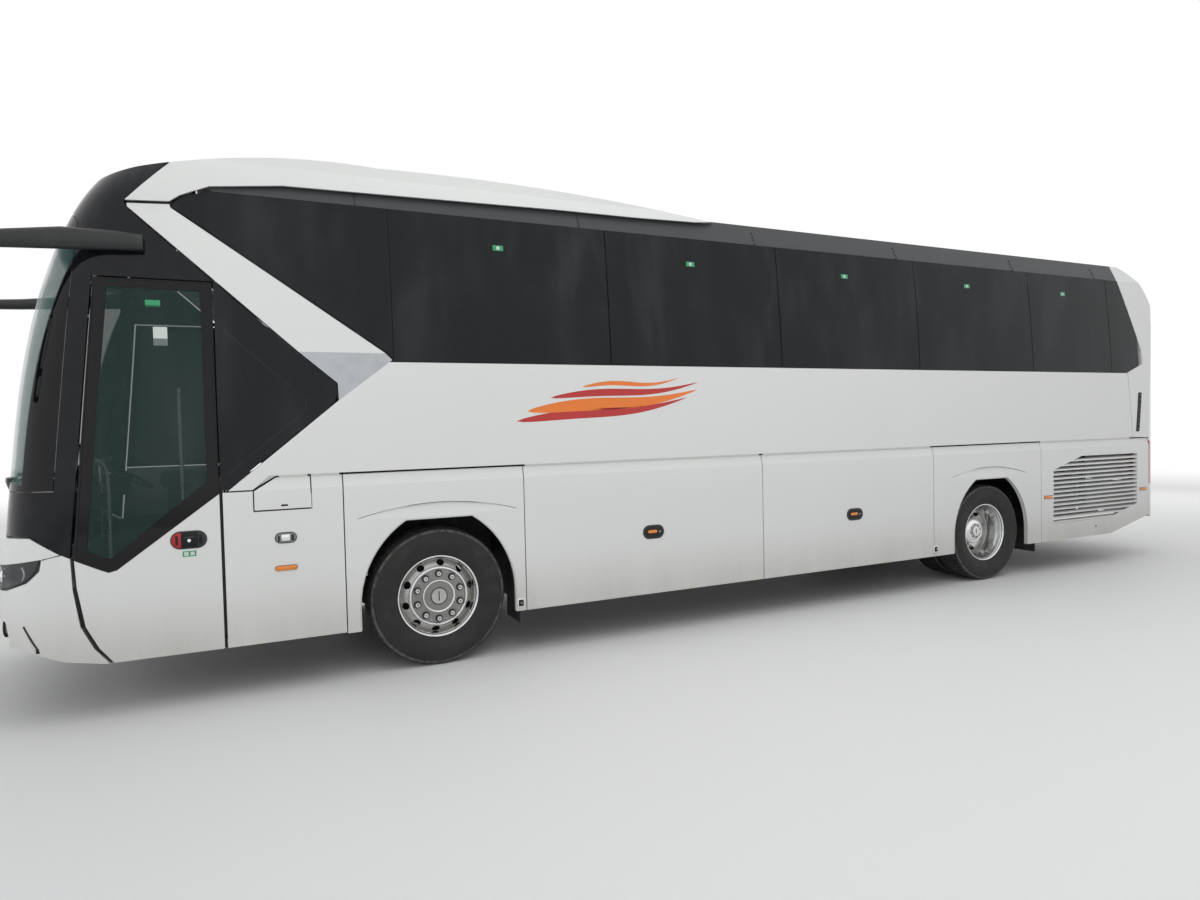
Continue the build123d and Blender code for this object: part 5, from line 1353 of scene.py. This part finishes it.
class COACH_OT_front_lamps(bpy.types.Operator):
    """Add the headlamp modules, the fog lamps and the front plate"""

    bl_idname = "coach.front_lamps"
    bl_label = "Front lamps"

    def execute(self, context):
        lamp = Skin("headlamps")
        bumper = Skin("front_bumper")
        shape = Shape()
        for _, side in SIDES:
            for x, z, radius in ((0.80, 0.925, 0.050), (0.955, 0.928, 0.052), (1.085, 0.940, 0.042)):
                self.module(shape, Vector((side * x, lamp.front(side * x, z) + 0.020, z)), radius)
            shape.use("lamp_white")
            for i in range(9):
                x = 0.74 + 0.046 * i
                y = lamp.front(side * x, 0.990)
                shape.box((side * x - 0.019, y + 0.012, 0.984), (side * x + 0.019, y + 0.020, 0.996), 0.003)
            self.fog(shape, bumper, side)
        shape.done("lamp_modules", "coach", slot="lamp_glass", sharp=40)
        self.plate(bumper)
        self.trims()
        return {"FINISHED"}

    def trims(self):
        """The black border and the bright fins of each headlamp."""
        lamp = Skin("headlamps")
        outline = [(0.398, 1.047), (0.393, 1.012), (0.374, 0.966), (0.344, 0.925), (0.300, 0.893),
                   (0.240, 0.868), (0.150, 0.850)]
        shape = Shape().use("seal_rubber")
        for _, side in SIDES:
            edge = []
            for y, z in outline:
                inward = Vector((0.250 - y, 0.975 - z)).normalized() * 0.018
                y, z = NOSE + y + inward.x, z + inward.y
                edge.append((lamp.side(y, z, side) + side * 0.0005, y, z))
            shape.tube(edge, 0.0050)
        shape.use("polished")
        for _, side in SIDES:
            for y in (NOSE + 0.150, NOSE + 0.285):
                path = [(y + 0.012 * sin(i * pi / 8), 0.915 + 0.085 * i / 8) for i in range(9)]
                fin = [(lamp.side(*spot, side) - side * 0.012, *spot) for spot in path]
                shape.tube(fin, 0.0065)
        shape.done("headlamp_trims", "coach", slot="flap_rubber", sharp=50)

    def module(self, shape, place, radius):
        """A projector lamp that looks forward: bezel ring, bowl and domed lens."""
        shape.use("polished").faced([(0.0, radius), (-0.010, radius), (-0.012, radius * 0.95),
                                     (-0.008, radius * 0.88), (0.010, radius * 0.66), (0.012, 0)], place, 32)
        shape.use("lamp_white").faced([(0.010, radius * 0.62), (0.0, radius * 0.60), (-0.010, radius * 0.50),
                                       (-0.016, radius * 0.28), (-0.018, 0)], place, 24)

    def fog(self, shape, bumper, side):
        y = bumper.front(side * 0.83, 0.57)
        place = Vector((side * 0.83, y - 0.004, 0.572))
        shape.use("seal_rubber").faced([(0.006, 0.066), (-0.006, 0.066), (-0.009, 0.061), (-0.006, 0.056),
                                        (0.004, 0.052)], place, 32)
        self.module(shape, place, 0.052)
        shape.use("bumper_black")
        shape.tube([(side * 1.2250, -5.4825, 0.6400), (side * 1.2390, -5.4480, 0.5606),
                    (side * 1.2475, -5.4140, 0.4950)], 0.0085, smooth=False)
        shape.use("seal_rubber").box((side * 1.232, -5.424, 0.468), (side * 1.254, -5.398, 0.500), 0.004)
        shape.tube([(side * 1.2680, -5.3688, 1.0439), (side * 1.2735, -5.3127, 1.0576),
                    (side * 1.2740, -5.2700, 1.0660)], 0.0035)

    def plate(self, bumper):
        y = min(bumper.front(x, z) for x in (-0.27, 0, 0.27) for z in (0.56, 0.70))
        shape = Shape()
        shape.use("bumper_black").box((-0.275, y - 0.010, 0.555), (0.275, y + 0.030, 0.690), 0.006)
        shape.use("plate_white").box((-0.262, y - 0.014, 0.567), (0.262, y - 0.008, 0.678), 0.003)
        shape.use("bumper_black")
        for i in range(5):
            z = 0.735 + 0.034 * i
            across = [(x / 10, bumper.front(x / 10, z) - 0.0015, z) for x in range(-5, 6)]
            shape.tube(across, 0.006)
        shape.done("front_plate", "coach", slot="bumper_black", sharp=40)


# Tail lamp modules from the top, by finish and height, and the sections of a bezel and a lens
TAIL_MODULES = (("lamp_red", 1.372), ("marker_amber", 1.248), ("lamp_red", 1.124), ("lamp_white", 1.000))
TAIL_BEZEL = [(-0.004, 0.056), (0.010, 0.056), (0.012, 0.052), (0.008, 0.049)]
TAIL_LENS = [(0.004, 0.049), (0.012, 0.045), (0.017, 0.032), (0.019, 0.016), (0.020, 0)]


class COACH_OT_rear_lamps(bpy.types.Operator):
    """Add the tail lamps' modules, the rear plate and the lid's fittings"""

    bl_idname = "coach.rear_lamps"
    bl_label = "Rear lamps"

    def execute(self, context):
        tail = Skin("tail_lamps")
        shape = Shape()
        for _, side in SIDES:
            for ink, z in TAIL_MODULES:
                x = side * 1.075
                place = Vector((x, tail.rear(x, z), z))
                shape.use("bumper_black").faced(TAIL_BEZEL, place, 32)
                shape.use(ink).faced(TAIL_LENS, place, 32)
        shape.done("tail_lamp_modules", "coach", slot="lamp_red", sharp=40)
        self.lid_fittings()
        self.bumper_fittings()
        return {"FINISHED"}

    def laid(self, shape, skin, ink, half, low, high, out):
        """A sheet that follows the crowned rear face."""
        made = shape.use(ink).grid(12, 2)
        for vert in made:
            x, z = vert.co.x * 2 * half, (low + high) / 2 + vert.co.y * (high - low)
            vert.co = (x, skin.rear(x, z) + out, z)
        shape.outward(made, Vector((0, 1, 0)))

    def lid_fittings(self):
        lid = Skin("engine_lid")
        shape = Shape()
        self.laid(shape, lid, "bumper_black", 0.272, 1.020, 1.140, 0.0002)
        self.laid(shape, lid, "plate_white", 0.262, 1.028, 1.132, 0.0005)
        self.laid(shape, lid, "bumper_black", 0.100, 0.945, 0.985, 0.0002)
        shape.use("polished")
        for x in (-0.20, 0.20):
            y = lid.rear(x, 1.156)
            shape.box((x - 0.03, y - 0.008, 1.150), (x + 0.03, y + 0.0022, 1.162), 0.002)
        shape.drum((0, lid.rear(0, 0.965) - 0.0009, 0.965), 0.010, 0.003, (0, 1, 0), 20, bevel=0.001)
        # The dark tubes under the white slat lips are painted shade in the louvre gaps
        for ink, first, radius, depth in (("seal_rubber", 1.340, 0.0110, 0.0106),
                                          ("white_paint", 1.354, 0.0050, 0.0046)):
            shape.use(ink)
            for i in range(11):
                z = first + 0.045 * i
                across = [(x / 10, lid.rear(x / 10, z) - depth, z) for x in range(-6, 7)]
                shape.tube(across, radius)
        shape.done("engine_lid_fittings", "engine_lid", slot="bumper_black", sharp=40)

    def bumper_fittings(self):
        bumper = Skin("rear_bumper")
        shell = Skin("rear_shell")
        shape = Shape()
        for _, side in SIDES:
            y = bumper.rear(side * 0.98, 0.66)
            shape.use("lamp_red").box((side * 0.98 - 0.06, y - 0.004, 0.635),
                                      (side * 0.98 + 0.06, y + 0.006, 0.685), 0.004)
        y = shell.rear(0, 3.30)
        shape.use("bumper_black").box((-0.20, y - 0.020, 3.275), (0.20, y + 0.006, 3.325), 0.006)
        shape.use("lamp_red").box((-0.185, y - 0.010, 3.285), (0.185, y + 0.011, 3.315), 0.004)
        shape.done("rear_fittings", "coach", slot="lamp_red", sharp=40)


# Mirrors, wipers and seals


class COACH_OT_mirrors(bpy.types.Operator):
    """Add the mirrors with their arms, shells and glass"""

    bl_idname = "coach.mirrors"
    bl_label = "Mirrors"

    def execute(self, context):
        for name, side in SIDES:
            shape = Shape().use("bumper_black")
            arm = [(-4.765, 1.262, 3.020, 0.052), (-4.90, 1.268, 3.022, 0.062), (-5.20, 1.266, 3.016, 0.069),
                   (-5.50, 1.262, 2.990, 0.056), (-5.90, 1.260, 2.957, 0.046), (-6.14, 1.260, 2.945, 0.042),
                   (-6.225, 1.260, 2.925, 0.038)]
            self.limb(shape, arm, side)
            shape.cushioned((side * 1.135, -6.338, 2.165), (side * 1.385, -6.205, 2.925), 0.045)
            shape.drum((side * 1.26, -6.225, 2.925), 0.036, 0.09, (0, 0, 1), 20, 0.030, bevel=0.006)
            self.glass(shape, side)
            shape.done(f"mirror_{name}", "coach", ["mirrors"], "bumper_black", sharp=48)
        return {"FINISHED"}

    def limb(self, shape, stations, side):
        """An arm of oval sections along the coach, closed at both ends."""
        rings = []
        for i, (y, x, z, half) in enumerate(stations):
            wide = 0.042 if i else 0.030
            rings.append(shape.ring_of(Vector((side * x, y, z)), wide, half, 16))
        for first, second in zip(rings, rings[1:]):
            bmesh.ops.bridge_loops(shape.bm, edges=shape.edges_of(first) + shape.edges_of(second))
        for ring in (rings[0], rings[-1]):
            shape.cap(ring)
        verts = [vert for ring in rings for vert in ring]
        bmesh.ops.recalc_face_normals(shape.bm, faces=list(faces_at(verts)))
        shape.settle(verts)

    def glass(self, shape, side):
        for low, high in ((2.42, 2.90), (2.19, 2.38)):
            shape.use("seal_rubber").box((side * 1.26 - 0.108, -6.210, low),
                                         (side * 1.26 + 0.108, -6.200, high), 0.008)
            shape.use("mirror_glass").box((side * 1.26 - 0.098, -6.206, low + 0.010),
                                          (side * 1.26 + 0.098, -6.1975, high - 0.010), 0.004)


class COACH_OT_seals(bpy.types.Operator):
    """Add the door's seals and the roof strip's joints"""

    bl_idname = "coach.seals"
    bl_label = "Seals"

    def execute(self, context):
        for name, side, body in (("left", 1, "passenger_door"), ("right", -1, "coach")):
            shape = Shape().use("seal_rubber")
            depth = 1.262 * side
            front = [(-5.2020, 1.040), (-5.2015, 0.890), (-5.1975, 0.800), (-5.1810, 0.690), (-5.1630, 0.600),
                     (-5.1290, 0.520), (-5.0960, 0.457), (-5.0230, 0.362)]
            shape.tube([(depth, y - (0.004 if side > 0 else 0.0075), z) for y, z in front], 0.0065)
            if side > 0:
                shape.tube([(1.262, -4.3765, 0.362), (1.262, -4.3765, 1.392)], 0.0075, smooth=False)
                self.leaf_edge(shape)
            else:
                shape.tube([(-1.262, -4.3770, 0.362), (-1.262, -4.3770, 1.392)], 0.0110, smooth=False)
            shape.done(f"door_seal_{name}", body, slot="flap_rubber", sharp=60)
        self.strip_joints()
        return {"FINISHED"}

    def leaf_edge(self, shape):
        """Dark strips on the passenger door's upper edges."""
        leaf = Skin("passenger_door")
        edges = (((DOOR_REAR - 0.001, 1.395), (DOOR_REAR - 0.001, 2.796)),
                 ((DOOR_REAR - 0.001, 2.796), (DOOR_FRONT + 0.168, 2.796)),
                 ((DOOR_FRONT + 0.1675, 2.795), (DOOR_FRONT + 0.0085, 1.057)))
        for (y0, z0), (y1, z1) in edges:
            points = []
            for i in range(13):
                y, z = y0 + (y1 - y0) * i / 12, z0 + (z1 - z0) * i / 12
                inward = (-0.018 if y > -4.6 else 0.018, -0.018 if z > 2.78 else 0)
                points.append((leaf.side(y + inward[0], z + inward[1]) - 0.0035, y, z))
            shape.tube(points, 0.0030)

    def strip_joints(self):
        frames = Skin("window_frames")
        shape = Shape().use("seal_rubber")
        for _, side in SIDES:
            for y in (-3.439, -1.67, 0.10, 1.87, 3.64, 5.10):
                for i in range(4):
                    z = 3.418 + 0.035 * i
                    x = frames.side(y, z, side)
                    shape.box((x - 0.003, y - 0.0025, z - 0.019), (x + 0.003, y + 0.0025, z + 0.019))
        shape.done("strip_joints", "coach", slot="flap_rubber")


# Cab and saloon


class COACH_OT_cab(bpy.types.Operator):
    """Add the steering wheel, the instruments and the cab's fittings"""

    bl_idname = "coach.cab"
    bl_label = "Cab"

    def execute(self, context):
        shape = Shape().use("dash_grey")
        middle = Vector((-0.64, NOSE + 0.652, 1.46))
        tilt = Matrix.Rotation(radians(-30), 4, "X")
        before = set(shape.bm.verts)
        rim = [(0.215 * cos(i * pi / 12), 0.215 * sin(i * pi / 12), 0) for i in range(24)]
        shape.tube(rim, 0.0135, closed=True)
        shape.box((-0.075, -0.055, -0.035), (0.075, 0.065, 0.004), 0.018)
        for turn in (0, pi, -pi / 2):
            out = Vector((cos(turn), sin(turn), 0))
            shape.tube([out * 0.05 + Vector((0, 0, -0.012)), out * 0.13 + Vector((0, 0, -0.010)),
                        out * 0.208], 0.014, smooth=False)
        made = [vert for vert in shape.bm.verts if vert not in before]
        bmesh.ops.transform(shape.bm, matrix=Matrix.Translation(middle) @ tilt, verts=made)
        self.binnacle(shape)
        self.console(shape)
        shape.done("cab_fittings", "coach", slot="dash_grey", sharp=40)
        self.screens()
        return {"FINISHED"}

    def binnacle(self, shape):
        shape.use("dash_grey").cushioned((-0.90, NOSE + 0.30, 1.405), (-0.38, NOSE + 0.44, 1.565), 0.030)
        shape.use("black_gloss").box((-0.86, NOSE + 0.432, 1.425), (-0.42, NOSE + 0.446, 1.545), 0.008)
        for x in (-0.76, -0.52):
            shape.use("polished").faced([(0.0, 0.052), (0.004, 0.052), (0.005, 0.048), (0.001, 0.047)],
                                        Vector((x, NOSE + 0.445, 1.485)), 32)
            shape.use("handle_red").box((x - 0.0015, NOSE + 0.446, 1.485), (x + 0.0015, NOSE + 0.449, 1.525))

    def console(self, shape):
        shape.use("black_gloss").box((-0.33, NOSE + 0.345, 1.385), (-0.05, NOSE + 0.365, 1.535), 0.006)
        shape.use("dash_grey")
        for row in range(2):
            for i in range(8):
                x, y = -0.30 + 0.036 * i, NOSE + 0.44 + 0.05 * row
                shape.box((x - 0.014, y - 0.018, 1.395 - 0.006 * row),
                          (x + 0.014, y + 0.018, 1.412 - 0.006 * row), 0.003)
        shape.use("black_gloss")
        for i in range(6):
            x = -1.05 + 0.28 * i
            shape.box((x - 0.09, NOSE + 0.225, 1.366), (x + 0.09, NOSE + 0.255, 1.376), 0.003)
        shape.use("rail_steel").tube([(0.36, NOSE + 0.60, 1.06), (0.36, NOSE + 0.60, 1.55),
                                      (0.30, NOSE + 0.60, 1.62), (-0.02, NOSE + 0.62, 1.62)], 0.016)

    def screens(self):
        shape = Shape()
        shape.use("dash_grey").box((-0.28, DOOR_REAR + 0.178, 1.43), (-1.16, DOOR_REAR + 0.192, 2.10), 0.004)
        shape.use("dash_grey").box((0.34, DOOR_REAR + 0.182, 1.43), (1.14, DOOR_REAR + 0.196, 2.10), 0.004)
        shape.use("rail_steel")
        for start, end in ((-1.16, -0.28), (0.34, 1.14)):
            shape.tube([(start, DOOR_REAR + 0.187, 2.11), (end, DOOR_REAR + 0.187, 2.11)], 0.016,
                       smooth=False)
        shape.use("rail_yellow")
        shape.tube([(0.31, DOOR_REAR + 0.19, 1.43), (0.31, DOOR_REAR + 0.19, 2.30)], 0.016, smooth=False)
        shape.tube([(-0.25, DOOR_REAR + 0.19, 1.43), (-0.25, DOOR_REAR + 0.19, 2.30)], 0.016, smooth=False)
        shape.done("front_partitions", "coach", slot="dash_grey", sharp=40)


class COACH_OT_seats(bpy.types.Operator):
    """Add the passengers' seats and the driver's seat"""

    bl_idname = "coach.seats"
    bl_label = "Seats"

    def execute(self, context):
        sizes = context.scene.coach_sizes
        cushions, backs, frames = Shape(), Shape(), Shape()
        for row in range(12):
            y = DOOR_REAR + 0.70 + 0.78 * row
            for side in (1, -1):
                for x in (0.465, 0.905):
                    self.seat(cushions, backs, frames, side * x, y, FLOOR_TOP, sizes.seat_width)
                self.armrest(frames, side * 0.237, y)
        self.driver(cushions, backs, frames, sizes)
        cushions.done("seat_cushions", "coach", ["seats"], "seat_fabric", sharp=80)
        backs.done("seat_backs", "coach", ["seats"], "seat_fabric", sharp=80)
        frames.done("seat_frames", "coach", ["seats"], "dash_grey", sharp=40)
        return {"FINISHED"}

    def seat(self, cushions, backs, frames, x, y, floor, width, rise=0.0):
        half = width / 2 - 0.008
        lean = Matrix.Rotation(radians(-11), 4, "X")
        cushions.use("seat_fabric").pillow((x - half, y + 0.005, floor + 0.300),
                                           (x + half, y + 0.455, floor + 0.430))
        backs.use("seat_fabric").pillow((x - half, y + 0.445, floor + 0.395),
                                        (x + half, y + 0.555, floor + 1.085 + rise), turn=lean)
        backs.pillow((x - half * 0.72, y + 0.505, floor + 0.885 + rise),
                     (x + half * 0.72, y + 0.590, floor + 1.090 + rise), cuts=4, turn=lean)
        frames.use("dash_grey").box((x - half * 0.96, y + 0.500, floor + 0.36),
                                    (x + half * 0.96, y + 0.530, floor + 0.98), 0.010, lean)
        frames.box((x - half * 0.9, y + 0.03, floor + 0.285), (x + half * 0.9, y + 0.44, floor + 0.315),
                   0.008)
        frames.use("chassis_black").box((x - half * 0.6, y + 0.16, floor),
                                        (x - half * 0.6 + 0.035, y + 0.36, floor + 0.29), 0.006)
        frames.box((x + half * 0.6 - 0.035, y + 0.16, floor), (x + half * 0.6, y + 0.36, floor + 0.29), 0.006)

    def armrest(self, frames, x, y):
        frames.use("dash_grey").box((x - 0.020, y + 0.14, FLOOR_TOP + 0.600),
                                    (x + 0.020, y + 0.47, FLOOR_TOP + 0.645), 0.014)

    def driver(self, cushions, backs, frames, sizes):
        y = NOSE + 0.90
        self.seat(cushions, backs, frames, -0.64, y, CAB_FLOOR, sizes.seat_width + 0.03, 0.05)
        frames.use("chassis_black").cushioned((-0.80, y + 0.06, CAB_FLOOR),
                                              (-0.48, y + 0.42, CAB_FLOOR + 0.28), 0.02)


# Stage


class COACH_OT_stage(bpy.types.Operator):
    """Add the floor, the lamps, the sky and the camera"""

    bl_idname = "coach.stage"
    bl_label = "Stage"

    def execute(self, context):
        scene = context.scene
        studio = scene.coach_studio
        self.floor(scene)
        self.sky(scene, studio)
        for name, place, size, power in (
                ("top_lamp", (0.5, 0.0, 9.5), (9, 17), studio.top_lamp),
                ("left_lamp", (11.0, -5.0, 5.5), (6, 14), studio.key_lamp),
                ("right_lamp", (-11.0, 4.0, 5.5), (6, 14), studio.key_lamp),
                ("front_lamp", (3.0, -15.0, 5.0), (8, 5), studio.key_lamp),
                ("rear_lamp", (-3.0, 15.0, 5.0), (8, 5), studio.key_lamp)):
            self.lamp(scene, name, Vector(place), size, power)
        self.camera(scene, studio)
        scene.view_settings.view_transform = "Standard"
        return {"FINISHED"}

    def floor(self, scene):
        shape = Shape().use("floor")
        bmesh.ops.create_grid(shape.bm, x_segments=2, y_segments=2, size=90)
        made = shape.done("floor", None)

    def lamp(self, scene, name, place, size, power):
        light = bpy.data.lights.new(name, "AREA")
        light.shape = "RECTANGLE"
        light.size, light.size_y = size
        light.energy = power
        made = bpy.data.objects.new(name, light)
        made.location = place
        made.rotation_euler = (Vector((0, 0, 1.6)) - place).to_track_quat("-Z", "Y").to_euler()
        made.visible_glossy = False
        made.visible_camera = False
        scene.collection.objects.link(made)

    def sky(self, scene, studio):
        world = bpy.data.worlds.new("studio")
        world.use_nodes = True
        world.node_tree.nodes.clear()
        web = Web(world.node_tree)
        rays = web.add("ShaderNodeLightPath").socket.node.outputs
        seen = Signal(web, rays["Is Camera Ray"])
        for kind in ("Is Glossy Ray", "Is Transmission Ray"):
            seen = seen.most(Signal(web, rays[kind]))
        light = web.add("ShaderNodeBackground", values={"Color": (0.97, 0.985, 1.0), "Strength": studio.sky})
        white = web.add("ShaderNodeBackground", values={"Color": (1, 1, 1), "Strength": 1.0})
        both = web.add("ShaderNodeMixShader", values=[seen, light, white])
        web.add("ShaderNodeOutputWorld", values=[both])
        scene.world = world

    def camera(self, scene, studio):
        camera = bpy.data.cameras.new("camera")
        camera.sensor_width = 36
        camera.lens = studio.lens
        camera.clip_end = 500
        forward = Vector(CAMERA_AIM).normalized()
        right = forward.cross(Vector((0, 0, 1))).normalized()
        up = right.cross(forward)
        roll = radians(CAMERA_ROLL)
        across = cos(roll) * right + sin(roll) * up
        upright = cos(roll) * up - sin(roll) * right
        made = bpy.data.objects.new("camera", camera)
        made.matrix_world = Matrix.Translation(CAMERA_PLACE) @ Matrix((across, upright,
                                                                       -forward)).transposed().to_4x4()
        scene.collection.objects.link(made)
        scene.camera = made


CAMERA_PLACE = (6.9656, -4.2970, 1.7910)
CAMERA_AIM = (-0.90156, 0.43147, -0.03194)
CAMERA_ROLL = -1.290


def floor_finish(name, colours):
    """Pale floor that fades to white far from the coach and keeps its shadow."""
    made = Finish(name, roughness=0.6)
    x, y, _ = made.axes()
    tone = made.noise(0.5, 3)
    made.set(base_color=made.mix(tone * 0.5, (0.80, 0.80, 0.80), (0.76, 0.76, 0.765)))
    far = ((x * x + y * y) ** 0.5).step(9, 24)
    glow = made.add("ShaderNodeEmission", values={"Color": (1, 1, 1), "Strength": 1.0})
    shader = Signal(made, made.shader.outputs[0])
    both = made.add("ShaderNodeMixShader", values=[far, shader, glow])
    out = next(node for node in made.tree.nodes if node.type == "OUTPUT_MATERIAL")
    made.feed(out.inputs["Surface"], both)
    return made.material


FINISHES["floor"] = floor_finish

PIECES = (COACH_OT_finishes, COACH_OT_tyres, COACH_OT_rims, COACH_OT_arch_liners, COACH_OT_wheel_nuts,
          COACH_OT_flap_fittings, COACH_OT_arch_lips, COACH_OT_door_fittings, COACH_OT_side_design,
          COACH_OT_front_lamps, COACH_OT_rear_lamps, COACH_OT_mirrors, COACH_OT_seals, COACH_OT_cab,
          COACH_OT_seats, COACH_OT_stage)


class COACH_PT_panel(bpy.types.Panel):
    """Lists the coach's pieces, sizes and colours"""

    bl_idname = "COACH_PT_panel"
    bl_label = "Touring coach"
    bl_space_type = "VIEW_3D"
    bl_region_type = "UI"
    bl_category = "Coach"

    def draw(self, context):
        for group in (context.scene.coach_colours, context.scene.coach_sizes, context.scene.coach_studio):
            box = self.layout.box()
            for key in group.bl_rna.properties.keys():
                if key not in {"rna_type", "name"}:
                    box.prop(group, key)
        for piece in PIECES:
            self.layout.operator(piece.bl_idname)


GROUPS = {"coach_colours": CoachColours, "coach_sizes": CoachSizes, "coach_studio": CoachStudio}


def register():
    for group in GROUPS.values():
        bpy.utils.register_class(group)
    for name, group in GROUPS.items():
        setattr(bpy.types.Scene, name, PointerProperty(type=group))
    for made in (*PIECES, COACH_PT_panel):
        bpy.utils.register_class(made)


def unregister():
    for made in (COACH_PT_panel, *reversed(PIECES)):
        bpy.utils.unregister_class(made)
    for name, group in GROUPS.items():
        delattr(bpy.types.Scene, name)
        bpy.utils.unregister_class(group)


def main():
    register()
    for piece in PIECES:
        area, name = piece.bl_idname.split(".")
        getattr(getattr(bpy.ops, area), name)()


if __name__ == "__main__":
    main()
